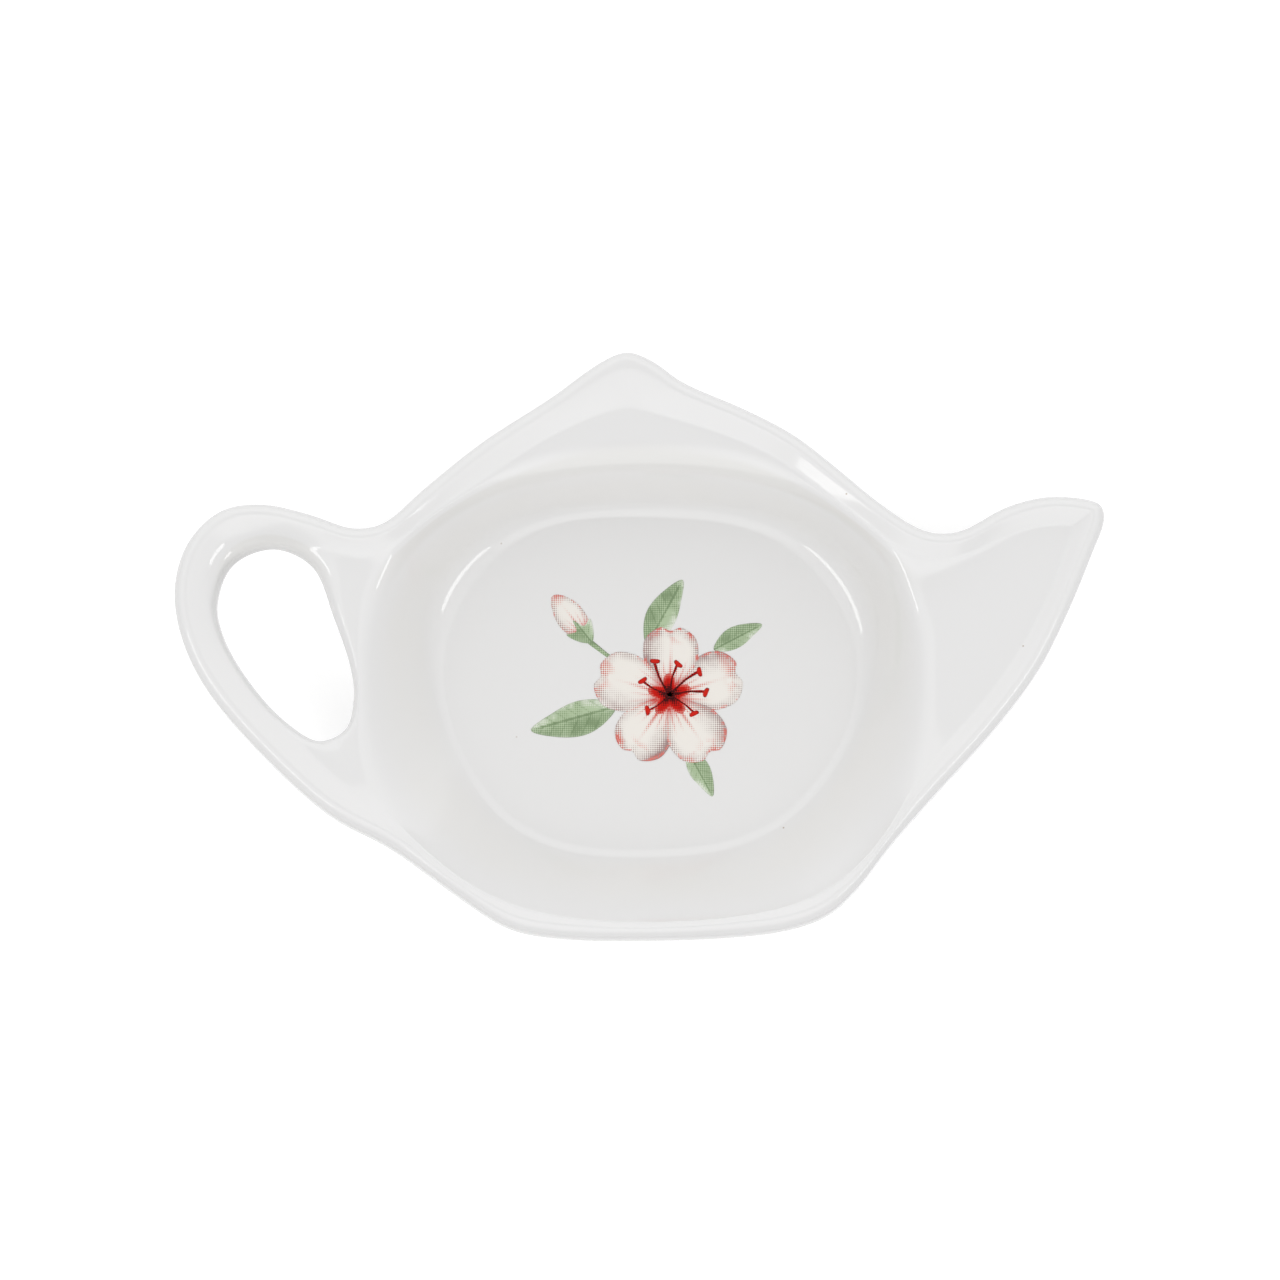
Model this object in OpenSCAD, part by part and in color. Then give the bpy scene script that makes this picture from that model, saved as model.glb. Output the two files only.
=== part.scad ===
// Tea bag rest: a small porcelain dish in the outline of a teapot seen from the side, with a
// printed flower on the floor of its well.
// The plan lies in X and Y, with the spout at +X and the lid at +Y, and the dish stands on Z = 0.
// One section, from the floor of the well over the rim to the base, is carried round the outline.

/* [Outline] */
// Length from the back of the handle to the tip of the spout
dish_length = 120; // [96:1:160]
// Width from the near rim to the tip of the lid
dish_width = 77; // [62:0.5:104]

/* [Rim] */
// Width of the raised lip, measured in from the edge
lip_width = 3.9; // [3:0.1:4.6]
// Height of the lip over the flat of the spout, the handle and the lid
lip_rise = 1.1; // [0.4:0.1:2]
// Radius of the round along the upper edge
edge_radius = 1.4; // [1:0.1:1.8]
// Radius of the round along the lower edge
under_radius = 1; // [0.5:0.1:1.4]
// Thickness of the spout, the lid and the handle
deck_thickness = 3.3; // [2.6:0.1:4.5]

/* [Well] */
// Depth of the well below the flat of the spout
well_depth = 9.5; // [7:0.5:13]
// Thickness of the sloping wall of the well
wall_thickness = 3.1; // [2.4:0.1:4]
// Thickness of the porcelain under the floor of the well
base_thickness = 3.3; // [2.4:0.1:5]
// Run of the wall of the well, in plan, on the side of the lid
far_run = 3.4; // [2.6:0.1:6]
// Run of the wall of the well on the near side
near_run = 10; // [7:0.1:12]
// Run of the wall of the well on the side of the handle
left_run = 8.3; // [6:0.1:11]
// Run of the wall of the well on the side of the spout
right_run = 6.7; // [5:0.1:10]
// Reach of the curve between the floor and the wall
floor_fillet = 2.6; // [1:0.1:3]
// Reach of the soft shoulder at the mouth of the well
shoulder_reach = 1.7; // [0.8:0.1:2.2]
// Fall of the lid from its lip down to the mouth of the well
lid_fall = 0.8; // [0.4:0.1:2.5]
// Fall of the spout and the handle towards the mouth of the well
deck_fall = 0.4; // [0:0.1:1]

/* [Handle] */
// Width of the bar of the handle, outside its opening
bar_width = 5.4; // [4.5:0.1:7]
// Width of the strip left between the opening and the well
strip_width = 2.2; // [2:0.1:4]
// Length of the opening of the handle
opening_length = 25.5; // [20:0.5:28]
// Reach of the round over the upper edge of the opening, in plan
opening_reach = 1.6; // [1:0.1:2.2]
// Height of the round over the upper edge of the opening
opening_round = 2.1; // [1.2:0.1:2.3]

/* [Foot] */
// Height of the foot ring
foot_height = 1.6; // [1:0.1:3]
// Width of the foot ring where it stands
foot_width = 2.2; // [1.4:0.1:3.5]
// Distance of the foot ring in from the edge of the floor above it
foot_inset = 1; // [0:0.1:3]

/* [Print] */
// Thickness of one colour of the printed transfer
film_thickness = 0.1; // [0.05:0.05:0.2]
// Size of the printed spray across its longest way
spray_size = 29; // [20:1:36]
// Length of the petals of the open flower
petal_length = 9.6; // [6:0.2:12]
// Length of the leaves
leaf_length = 11.5; // [7:0.5:15]
// Length of the bud
bud_length = 7; // [4:0.5:9]
// Radius of the red throat of the flower
throat_radius = 2.3; // [1:0.1:3.5]
// Length of the longest filament
filament_length = 5; // [3:0.2:7]
// Width of a filament
filament_width = 0.3; // [0.2:0.05:0.6]
// Length of an anther
anther_length = 1.3; // [0.6:0.1:2]
// Width of the stems and of the middle vein of a leaf
stem_width = 0.6; // [0.3:0.05:1]

/* [Hidden] */

// Clearance past a face that a cut runs through
overrun = 1;
// Steps of the outline from one of its points to the next
outline_steps = 3;
// Steps of the opening's outline from one of its points to the next
opening_steps = 4;
// Steps of the printed outlines from one of their points to the next
print_steps = 3;
// Segments of one round of the section
round_steps = 3;
// Steps round the foot ring
foot_steps = 72;
// A full turn
turn = 360;

// The outline, clockwise from the tip of the lid: share of the length, share of the width, the
// bearing on the mouth of the well that the section from this point runs to, and the width of
// the lip there as a share of its plain width
outline_shares = [
    [-0.014, 0.500, 92, 2.25], [0.014, 0.484, 88, 1.8], [0.047, 0.447, 82, 1.3], [0.110, 0.403, 73, 1.08],
    [0.166, 0.356, 64, 1], [0.213, 0.298, 53, 1], [0.261, 0.235, 41, 1], [0.308, 0.190, 32, 0.95],
    [0.345, 0.190, 28, 0.95], [0.392, 0.229, 25.5, 0.95], [0.435, 0.248, 23, 0.95],
    [0.476, 0.246, 20, 1], [0.496, 0.235, 18, 1.2], [0.500, 0.211, 16, 1.05], [0.487, 0.155, 12, 0.85],
    [0.461, 0.058, 6, 0.8], [0.426, -0.049, -1, 0.82], [0.373, -0.157, -11, 0.88],
    [0.318, -0.251, -23, 0.95], [0.266, -0.344, -37, 1], [0.233, -0.411, -48, 1],
    [0.201, -0.457, -57, 1], [0.159, -0.482, -65, 1], [0.094, -0.495, -76, 1], [0.002, -0.500, -91, 1],
    [-0.084, -0.497, -105, 1], [-0.140, -0.480, -115, 1], [-0.192, -0.429, -127, 1],
    [-0.267, -0.345, -142, 1], [-0.329, -0.293, -151, 1], [-0.396, -0.201, -160, 1.1],
    [-0.461, -0.086, -170, 1.15], [-0.490, 0.001, -176, 1.15], [-0.500, 0.091, -181, 1.15],
    [-0.486, 0.171, -185, 1.15], [-0.452, 0.224, -189, 1.15], [-0.408, 0.236, -193, 1.1],
    [-0.353, 0.217, -200, 1], [-0.310, 0.195, -208, 1], [-0.276, 0.204, -216, 1],
    [-0.235, 0.260, -228, 1.1], [-0.170, 0.344, -242, 1.15], [-0.095, 0.422, -256, 1.15],
    [-0.043, 0.482, -264, 1.8]];
// Place and size of the mouth of the well, as shares of the length and of the width
mouth_place_share = [0.006, -0.083];
mouth_size_share = [0.590, 0.765];
// How far the mouth and the floor stand out from a plain ellipse, every 20 degrees from +X
mouth_bulge_shares = [1, 1.05, 1.08, 1.055, 1.015, 1.015, 1.06, 1.10, 1.06,
    1.01, 1.035, 1.06, 1.06, 1.02, 1.02, 1.09, 1.08, 1.025];
floor_bulge_shares = [0.99, 1.06, 1.12, 1.08, 1.015, 1.015, 1.09, 1.12, 1.06,
    0.995, 0.98, 1.02, 1.07, 1.02, 1.01, 1.03, 0.985, 0.97];
// The opening of the handle, clockwise from its top, as shares of its width and length
opening_shares = [[0.41, 1], [0.69, 0.90], [0.85, 0.64], [0.975, 0.38], [1, 0.22], [0.94, 0.06],
    [0.755, 0], [0.51, 0.10], [0.25, 0.30], [0.055, 0.53], [0, 0.715], [0.11, 0.915]];
// The turn that the round of the opening's edge takes before it runs straight out of the face
bell_arc = 70;
// Height of the top of the handle on the outline, as a share of the width
handle_top_share = 0.237;
// The lip on a narrow land takes this share of it at the most, and the round this share of the lip
lip_land_share = 0.8;
round_lip_share = 0.65;
// The shoulder takes this share of the flat beside it at the most
shoulder_land_share = 0.45;

// The open flower, the bud and the leaves: place in the spray as shares of its size from its
// middle, and turn; then what each is scaled by
flower_place_share = [0.08, -0.07, 20];
petal_place_shares = [[18, 1], [88, 0.94], [163, 1.02], [236, 0.97], [304, 1]];
petal_shares = [[0.04, 0.02], [0.22, 0.19], [0.5, 0.38], [0.82, 0.38], [1, 0.16], [0.95, 0.02],
    [1, -0.13], [0.85, -0.35], [0.52, -0.38], [0.2, -0.18]];
bud_place_share = [-0.29, 0.20, 128];
bud_shares = [[0, 0], [0.22, 0.24], [0.6, 0.27], [1, 0.06], [0.97, -0.06], [0.62, -0.24], [0.2, -0.2]];
calyx_shares = [[-0.14, 0], [0, 0.17], [0.26, 0.28], [0.14, 0.1], [0.4, 0.02], [0.14, -0.08],
    [0.24, -0.25], [0, -0.15]];
leaf_place_shares = [[-0.16, -0.12, 196, 1], [-0.02, 0.16, 62, 0.86], [0.28, 0.14, 28, 0.62],
    [0.16, -0.32, -62, 0.6]];
leaf_shares = [[0, 0], [0.14, 0.13], [0.4, 0.22], [0.7, 0.17], [1, 0], [0.72, -0.12], [0.42, -0.18],
    [0.15, -0.12]];
stem_place_shares = [[0, 0, 146, 0.36]];
vein_length_share = 0.86;
vein_shares = [0.2, 0.4, 0.6];
side_vein_share = 0.22;
vein_angle = 38;
// A stroke that swells in its middle and bends to one side, as shares of its length and width
stroke_shares = [[0, 0], [0.3, 0.62], [0.7, 0.85], [1, 0.5], [0.7, -0.1], [0.3, -0.38]];
// Strokes of blush on a petal: turn from its middle, start, length and width as shares of it
blush_place_shares = [[-14, 0.2, 0.55, 0.06], [2, 0.22, 0.66, 0.05], [17, 0.2, 0.5, 0.06]];
blush_start_share = 0.3;
throat_steps = 40;
throat_lobe_share = 0.28;
// Turn and length of each filament, the length as a share of the longest
filament_place_shares = [[-38, 0.8], [4, 0.95], [38, 1], [74, 0.86], [112, 0.98], [150, 0.8], [214, 0.7]];
anther_shares = [[-0.45, 0.08], [0, 0.28], [0.5, 0.14], [0.52, -0.12], [0, -0.2], [-0.42, -0.16]];
anther_angle = 62;

// Heights, from the table up
foot_z = foot_height;
floor_z = foot_z + base_thickness;
deck_z = floor_z + well_depth;
crest_z = deck_z + lip_rise;
under_z = deck_z - deck_thickness;

// The mouth and the floor of the well in plan
dish_size = [dish_length, dish_width];
mouth_centre = [for (k = [0, 1]) mouth_place_share[k] * dish_size[k]];
mouth_half = [for (k = [0, 1]) mouth_size_share[k] * dish_size[k] / 2];
floor_centre = mouth_centre + [left_run - right_run, near_run - far_run] / 2;
floor_half = mouth_half - [left_run + right_run, near_run + far_run] / 2;

// The opening of the handle in plan
opening_left = bar_width - dish_length / 2;
opening_right = mouth_centre.x - mouth_half.x - strip_width;
opening_top = handle_top_share * dish_width - bar_width;
opening_size = [opening_right - opening_left, opening_length];
opening_corner = [opening_left, opening_top - opening_length];

// A point between two others
function mix(a, b, t) = a + (b - a) * t;

// A point on the soft corner from a to b, drawn towards the corner c
function corner_point(a, c, b, t) = mix(mix(a, c, t), mix(c, b, t), t);
function soft_corner(a, c, b) = [for (k = [0:round_steps]) corner_point(a, c, b, k / round_steps)];

// A smooth closed curve through given points, by chord lengths
function chord(a, b) = sqrt(norm([b.x - a.x, b.y - a.y]));
function curve_point(p, q, r, s, t) =
    let (b = chord(p, q), c = b + chord(q, r), d = c + chord(r, s), e = mix(b, c, t),
        pq = mix(p, q, e / b), qr = mix(q, r, (e - b) / (c - b)), rs = mix(r, s, (e - c) / (d - c)))
    mix(mix(pq, qr, e / c), mix(qr, rs, (e - b) / (d - b)), (e - b) / (c - b));
function closed_curve(points, steps) =
    let (n = len(points))
    [for (i = [0:n - 1], k = [0:steps - 1])
        curve_point(points[(i + n - 1) % n], points[i], points[(i + 1) % n], points[(i + 2) % n],
            k / steps)];

// A value that runs smoothly round a turn through equally spaced shares
function round_value(shares, angle) =
    let (n = len(shares), place = (angle / turn + 1) * n, i = floor(place), t = place - i,
        v = [for (k = [-1:2]) shares[(i + k) % n]])
    v[1] + t / 2 * (v[2] - v[0] + t * (2 * v[0] - 5 * v[1] + 4 * v[2] - v[3]
        + t * (3 * (v[1] - v[2]) + v[3] - v[0])));
function oval_point(centre, half, shares, angle) =
    centre + [half.x * cos(angle), half.y * sin(angle)] * round_value(shares, angle);
function mouth_point(angle) = oval_point(mouth_centre, mouth_half, mouth_bulge_shares, angle);
function floor_point(angle, inset) =
    oval_point(floor_centre, floor_half - [inset, inset], floor_bulge_shares, angle);

// The outline in plan, with the bearing and the lip share of each of its sections
function wrapped_row(i) =
    let (n = len(outline_shares), row = outline_shares[(i + n) % n])
    [row[0] * dish_length, row[1] * dish_width, row[2] - turn * floor(i / n), row[3]];
rim = [for (i = [0:len(outline_shares) - 1], k = [0:outline_steps - 1])
    curve_point(wrapped_row(i - 1), wrapped_row(i), wrapped_row(i + 1), wrapped_row(i + 2),
        k / outline_steps)];
function unit(v) = v / norm(v);
function inward(loop, i) =
    let (n = len(loop), along = loop[(i + 1) % n] - loop[(i + n - 1) % n])
    unit([along.y, -along.x]);
function lifted(p, z) = [p.x, p.y, z];

// The section from the floor of the well, over the rim, to the edge of the base. On a narrow land
// the lip is narrower and rises less, so that its crest stays level all round.
function section(i) =
    let (
        edge = [rim[i].x, rim[i].y],
        bearing = rim[i].z,
        into = inward(rim, i),
        mouth = mouth_point(bearing),
        foot = floor_point(bearing, 0),
        land = norm(mouth - edge),
        over_lip = unit(into + unit(mouth - edge)),
        lip = min(rim[i][3] * lip_width / (over_lip * into), lip_land_share * land),
        nose = min(edge_radius, round_lip_share * lip),
        rise = lip_rise * min(1, (lip - nose) / (lip_width - edge_radius)),
        fall = mix(deck_fall, lid_fall, pow(max(0, sin(bearing)), 2)),
        out = unit(mouth - foot),
        lip_foot = lifted(edge + over_lip * lip, crest_z - rise),
        lip_top = lifted(edge + into * nose, crest_z),
        mouth_edge = lifted(mouth, crest_z - rise - fall),
        floor_edge = lifted(foot, floor_z),
        slope = atan2(mouth_edge.z - floor_z, norm(mouth - foot)),
        up_wall = unit(mouth_edge - floor_edge),
        along_deck = unit(lip_foot - mouth_edge),
        shoulder = min(shoulder_reach, shoulder_land_share * norm(lip_foot - mouth_edge)),
        belly_push = wall_thickness * tan(slope / 2),
        belly_top = lifted(mouth + out * belly_push, under_z),
        belly_foot = lifted(foot + out * belly_push, foot_z),
        under_start = lifted(edge + into * under_radius, under_z),
        up_belly = unit(belly_top - belly_foot))
    concat(
        soft_corner(floor_edge - lifted(out, 0) * floor_fillet, floor_edge,
            floor_edge + up_wall * floor_fillet),
        soft_corner(mouth_edge - up_wall * shoulder, mouth_edge, mouth_edge + along_deck * shoulder),
        [for (k = [0:round_steps - 1])
            let (t = k / round_steps, on_lip = mix(lip_foot, lip_top, t))
            lifted(on_lip, mix(lip_foot.z, crest_z, (1 - cos(turn / 2 * t)) / 2))],
        [for (k = [0:round_steps])
            let (a = turn / 4 * k / round_steps)
            lifted(edge + into * nose * (1 - sin(a)), crest_z - edge_radius * (1 - cos(a)))],
        [for (k = [0:round_steps])
            let (a = turn / 4 * k / round_steps)
            lifted(edge + into * under_radius * (1 - cos(a)), under_z + under_radius * (1 - sin(a)))],
        soft_corner(mix(belly_top, under_start, shoulder_land_share), belly_top,
            belly_top - up_belly * shoulder_reach),
        [belly_foot]);

// The dish without its opening and foot ring: the sections joined into one closed skin
module swept_dish() {
    n = len(rim);
    sections = [for (i = [0:n - 1]) section(i)];
    m = len(sections[0]);
    middles = [lifted(floor_centre, floor_z), lifted(floor_centre, foot_z)];
    floor_fan = [for (i = [0:n - 1]) [n * m, i * m, (i + 1) % n * m]];
    base_fan = [for (i = [0:n - 1]) [n * m + 1, (i + 1) % n * m + m - 1, i * m + m - 1]];
    skin = [for (i = [0:n - 1], j = [0:m - 2])
        let (a = i * m + j, b = (i + 1) % n * m + j)
        each [[a, a + 1, b + 1], [a, b + 1, b]]];
    polyhedron(concat([for (s = sections) each s], middles), concat(floor_fan, skin, base_fan));
}

// The opening of the handle, belled out above and below so that its edges come out round
module opening_cutter() {
    loop = closed_curve([for (s = opening_shares)
        opening_corner + [s.x * opening_size.x, s.y * opening_size.y]], opening_steps);
    n = len(loop);
    // Heights and widenings of the loops from below upwards; both ends run on past the faces
    stack = concat(
        [[under_z - overrun, under_radius]],
        [for (k = [round_steps:-1:0])
            let (a = bell_arc * k / round_steps)
            [under_z + under_radius * (1 - sin(a)), under_radius * (1 - cos(a))]],
        [for (k = [0:round_steps])
            let (a = bell_arc * k / round_steps)
            [deck_z - opening_round * (1 - sin(a)), opening_reach * (1 - cos(a))]],
        [[crest_z + overrun, opening_reach + overrun]]);
    m = len(stack);
    points = [for (s = stack, i = [0:n - 1]) lifted(loop[i] - inward(loop, i) * s[1], s[0])];
    centre = opening_corner + opening_size / 2;
    caps = [lifted(centre, stack[0][0]), lifted(centre, stack[m - 1][0])];
    sides = [for (j = [0:m - 2], i = [0:n - 1])
        let (a = j * n + i, b = j * n + (i + 1) % n)
        each [[a, b, b + n], [a, b + n, a + n]]];
    ends = [for (i = [0:n - 1])
        each [[n * m, (i + 1) % n, i], [n * m + 1, (m - 1) * n + i, (m - 1) * n + (i + 1) % n]]];
    polyhedron(concat(points, caps), concat(sides, ends));
}

module foot_outline(inset) {
    polygon([for (k = [0:foot_steps - 1]) floor_point(turn * k / foot_steps, inset)]);
}

module foot_ring() {
    linear_extrude(foot_height + base_thickness / 2)
        difference() {
            foot_outline(foot_inset);
            foot_outline(foot_inset + foot_width);
        }
}

// The glazed dish: one piece with the handle, the spout, the lid and the bare foot ring
module porcelain_dish() {
    color("#f4f4f1")
        union() {
            resize([dish_length, dish_width, 0])
                difference() {
                    swept_dish();
                    opening_cutter();
                }
            foot_ring();
        }
}

// A closed outline drawn from shares of its own length and width
module drawn(shares, size) {
    polygon(closed_curve([for (s = shares) [s.x * size.x, s.y * size.y]], print_steps));
}

module laid(place) {
    translate([place[0] * spray_size, place[1] * spray_size])
        rotate(place[2])
            children();
}

module stroke(length, width) {
    drawn(stroke_shares, [length, width]);
}

module open_petals() {
    for (p = petal_place_shares)
        laid([flower_place_share[0], flower_place_share[1], p[0]])
            drawn(petal_shares, [petal_length, petal_length] * p[1]);
}

module bud() {
    laid(bud_place_share)
        drawn(bud_shares, [bud_length, bud_length]);
}

module leaves() {
    for (p = leaf_place_shares)
        laid(p)
            drawn(leaf_shares, [leaf_length, leaf_length] * p[3]);
    for (p = stem_place_shares)
        laid(p)
            stroke(p[3] * spray_size, stem_width);
    laid(bud_place_share)
        drawn(calyx_shares, [bud_length, bud_length]);
}

module leaf_veins() {
    for (p = leaf_place_shares)
        laid(p) {
            stroke(leaf_length * p[3] * vein_length_share, stem_width / 2);
            for (x = vein_shares, side = [-1, 1])
                translate([leaf_length * p[3] * x, 0])
                    rotate(side * vein_angle)
                        stroke(leaf_length * p[3] * side_vein_share, stem_width / 2);
        }
}

// The pink shade of the petals: strokes that fan out of the throat, and one on the bud
module blushes() {
    for (p = petal_place_shares, b = blush_place_shares)
        laid([flower_place_share[0], flower_place_share[1], p[0] + b[0]])
            translate([petal_length * p[1] * b[1], 0])
                stroke(petal_length * p[1] * b[2], petal_length * p[1] * b[3]);
    laid(bud_place_share)
        translate([bud_length * blush_start_share, 0])
            stroke(bud_length / 2, stem_width);
}

module throat() {
    laid(flower_place_share)
        polygon([for (k = [0:throat_steps - 1])
            let (
                a = turn * k / throat_steps,
                r = throat_radius * (1 + throat_lobe_share * cos(len(petal_place_shares) * a)))
            [r * cos(a), r * sin(a)]]);
}

module filaments() {
    for (p = filament_place_shares)
        laid([flower_place_share[0], flower_place_share[1], p[0]])
            translate([-filament_width / 2, -filament_width / 2])
                square([filament_length * p[1], filament_width]);
}

module anthers() {
    for (p = filament_place_shares)
        laid([flower_place_share[0], flower_place_share[1], p[0]])
            translate([filament_length * p[1], 0])
                rotate(anther_angle)
                    drawn(anther_shares, [anther_length, anther_length]);
}

// One colour of the transfer, on the floor of the well
module film() {
    translate([floor_centre.x, floor_centre.y, floor_z])
        linear_extrude(film_thickness)
            children();
}

module leaf_print() {
    color("#a9bf97")
        film()
            difference() {
                leaves();
                leaf_veins();
                open_petals();
                bud();
                throat();
                filaments();
                anthers();
            }
}

module leaf_vein_print() {
    color("#83a072")
        film()
            difference() {
                leaf_veins();
                open_petals();
                bud();
                throat();
                filaments();
                anthers();
            }
}

module petal_print() {
    color("#f3e3da")
        film()
            difference() {
                union() {
                    open_petals();
                    bud();
                }
                blushes();
                throat();
                filaments();
                anthers();
            }
}

module petal_blush_print() {
    color("#dd9a93")
        film()
            difference() {
                intersection() {
                    blushes();
                    union() {
                        open_petals();
                        bud();
                    }
                }
                throat();
                filaments();
                anthers();
            }
}

module throat_print() {
    color("#c3342a")
        film()
            difference() {
                throat();
                filaments();
                anthers();
            }
}

module filament_print() {
    color("#6d1c1c")
        film()
            difference() {
                filaments();
                anthers();
            }
}

module anther_print() {
    color("#a8231b")
        film()
            anthers();
}

porcelain_dish();
leaf_print();
leaf_vein_print();
petal_print();
petal_blush_print();
throat_print();
filament_print();
anther_print();
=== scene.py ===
# %% [markdown]
# # A porcelain tea bag rest in the outline of a teapot
# The real thing is one piece of fired clay: a small dish with a lid, a spout and a handle, a coat
# of clear glaze, a foot ring wiped bare to stand on, and a printed flower on its floor. The packed
# solids fix where everything is. This lesson works out a fine glazed skin round them, lays the
# print on it, and lights it like a picture for a shop.

# %% Load the frame
import math

import bmesh
import bpy
import numpy as np
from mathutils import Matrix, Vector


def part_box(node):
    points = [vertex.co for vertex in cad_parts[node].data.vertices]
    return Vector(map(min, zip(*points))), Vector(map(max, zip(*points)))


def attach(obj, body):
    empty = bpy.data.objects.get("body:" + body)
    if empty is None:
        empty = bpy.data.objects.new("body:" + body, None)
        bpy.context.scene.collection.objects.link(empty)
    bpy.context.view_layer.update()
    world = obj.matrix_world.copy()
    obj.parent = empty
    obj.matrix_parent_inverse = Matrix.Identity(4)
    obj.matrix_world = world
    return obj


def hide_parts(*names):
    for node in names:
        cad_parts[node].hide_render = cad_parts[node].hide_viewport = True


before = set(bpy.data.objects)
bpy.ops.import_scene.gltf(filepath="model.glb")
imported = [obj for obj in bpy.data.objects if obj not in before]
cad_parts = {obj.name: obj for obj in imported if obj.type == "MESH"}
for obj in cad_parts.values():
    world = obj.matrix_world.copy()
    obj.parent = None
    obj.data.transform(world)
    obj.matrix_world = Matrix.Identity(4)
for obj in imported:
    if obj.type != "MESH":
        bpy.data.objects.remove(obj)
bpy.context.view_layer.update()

MM = 0.001

# %% [markdown]
# ## The driving sizes
# A potter works from a drawing: the outline seen from above, and one section through the rim. Both
# are the ones of the solids, so the skin lies where the solid lies. The length, the width and the
# height come from the frame itself. The small sizes of the section are plain numbers of the
# drawing, so they are repeated here in millimetres.

# %% Sizes of the section, in millimetres
dish_low, dish_high = (np.array(corner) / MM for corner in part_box("porcelain_dish"))
LENGTH, WIDTH, CREST = dish_high[0] - dish_low[0], dish_high[1] - dish_low[1], dish_high[2]
PLAN = np.array([LENGTH, WIDTH])
LIP_WIDTH, LIP_RISE, EDGE_ROUND, UNDER_ROUND = 3.9, 1.1, 1.4, 1.0
DECK_THICKNESS, BASE_THICKNESS, WALL_THICKNESS = 3.3, 3.3, 3.1
FOOT_HEIGHT, FOOT_WIDTH, FOOT_INSET = 1.6, 2.2, 1.0
DECK, FLOOR = CREST - LIP_RISE, FOOT_HEIGHT + BASE_THICKNESS
UNDER = DECK - DECK_THICKNESS
LID_FALL, DECK_FALL = 0.62, 0.4
print("dish", round(LENGTH, 1), "by", round(WIDTH, 1), "by", round(CREST, 1), "mm")

# %% [markdown]
# ## The outline
# The outline of the real dish was drawn by hand, and its bends flow into each other. It could be
# put together from arcs, but a few points with a smooth curve through them follow such a line with
# less. Each row is a share of the length, a share of the width, the bearing in degrees of the
# section that ends there, and how wide the lip is there beside the plain lip.

# %% The outline: share of the length, share of the width, bearing of its section, share of the lip
OUTLINE = np.array([
    [-0.014, 0.500, 92, 2.25], [0.014, 0.484, 88, 1.8], [0.047, 0.447, 82, 1.3], [0.110, 0.403, 73, 1.08],
    [0.166, 0.356, 64, 1], [0.213, 0.298, 53, 1], [0.261, 0.235, 41, 1], [0.308, 0.190, 32, 0.95],
    [0.345, 0.190, 28, 0.95], [0.392, 0.229, 25.5, 0.95], [0.435, 0.248, 23, 0.95],
    [0.476, 0.246, 20, 1], [0.496, 0.235, 18, 1.2], [0.500, 0.211, 16, 1.05], [0.487, 0.155, 12, 0.85],
    [0.461, 0.058, 6, 0.8], [0.426, -0.049, -1, 0.82], [0.373, -0.157, -11, 0.88],
    [0.318, -0.251, -23, 0.95], [0.266, -0.344, -37, 1], [0.233, -0.411, -48, 1],
    [0.201, -0.457, -57, 1], [0.159, -0.482, -65, 1], [0.094, -0.495, -76, 1], [0.002, -0.500, -91, 1],
    [-0.084, -0.497, -105, 1], [-0.140, -0.480, -115, 1], [-0.192, -0.429, -127, 1],
    [-0.267, -0.345, -142, 1], [-0.329, -0.293, -151, 1], [-0.396, -0.201, -160, 1.1],
    [-0.461, -0.086, -170, 1.15], [-0.490, 0.001, -176, 1.15], [-0.500, 0.091, -181, 1.15],
    [-0.486, 0.171, -185, 1.15], [-0.452, 0.224, -189, 1.15], [-0.408, 0.236, -193, 1.1],
    [-0.353, 0.217, -200, 1], [-0.310, 0.195, -208, 1], [-0.276, 0.204, -216, 1],
    [-0.235, 0.260, -228, 1.1], [-0.170, 0.344, -242, 1.15], [-0.095, 0.422, -256, 1.15],
    [-0.043, 0.482, -264, 1.8]])
print(len(OUTLINE), "points in the outline")

# %% [markdown]
# ## Smooth loops
# The curve has to run through all of its points and not overshoot where they lie close together. A
# curve with handles would need two more points for each one. This one blends straight mixes of the
# four nearest points, and stays on each span for as long as the root of its chord. All spans are
# worked out at once: the array holds spans by steps by columns, and no loop runs over points.


# %% The rim: a smooth loop through the outline
def smooth_loop(rows, steps, turn=0.0):
    """A closed curve through rows. Each span blends three straight mixes of its four nearest rows,
    with knots spaced by the square root of the chord. The third column loses turn once round."""
    step = np.zeros(rows.shape[1])
    step[2:3] = turn
    padded = np.vstack([rows[-1:] + step, rows, rows[:2] - step])
    p, q, r, s = (padded[k:k + len(rows), None] for k in range(4))
    chords = [np.linalg.norm((b - a)[..., :2], axis=-1)[..., None] for a, b in ((p, q), (q, r), (r, s))]
    k1, k2, k3 = np.cumsum(np.sqrt(chords), axis=0)
    t = np.linspace(0, 1, steps, endpoint=False)[None, :, None]
    e = k1 + (k2 - k1) * t
    pq = p + (q - p) * e / k1
    qr = q + (r - q) * (e - k1) / (k2 - k1)
    rs = r + (s - r) * (e - k2) / (k3 - k2)
    low, high = pq + (qr - pq) * e / k2, qr + (rs - qr) * (e - k1) / (k3 - k1)
    return (low + (high - low) * (e - k1) / (k2 - k1)).reshape(-1, rows.shape[1])


COLUMN_STEPS = 12
rim = smooth_loop(OUTLINE * [LENGTH, WIDTH, 1, 1], COLUMN_STEPS, 360)
bearing, lip_share = rim[:, 2], rim[:, 3]
print(len(rim), "columns round the rim")

# %% [markdown]
# ## The edge
# A sponge takes the small waves out of an edge of clay and leaves its bends. A plain running mean
# would flatten the bends too, so what it takes from them is given back. At each point of the edge
# the way inwards, square to it, places the lip and the rounds.


# %% The edge, and the way inwards from it
def unit(vectors):
    """Each vector divided by its own length."""
    return vectors / np.linalg.norm(vectors, axis=-1, keepdims=True)


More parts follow.
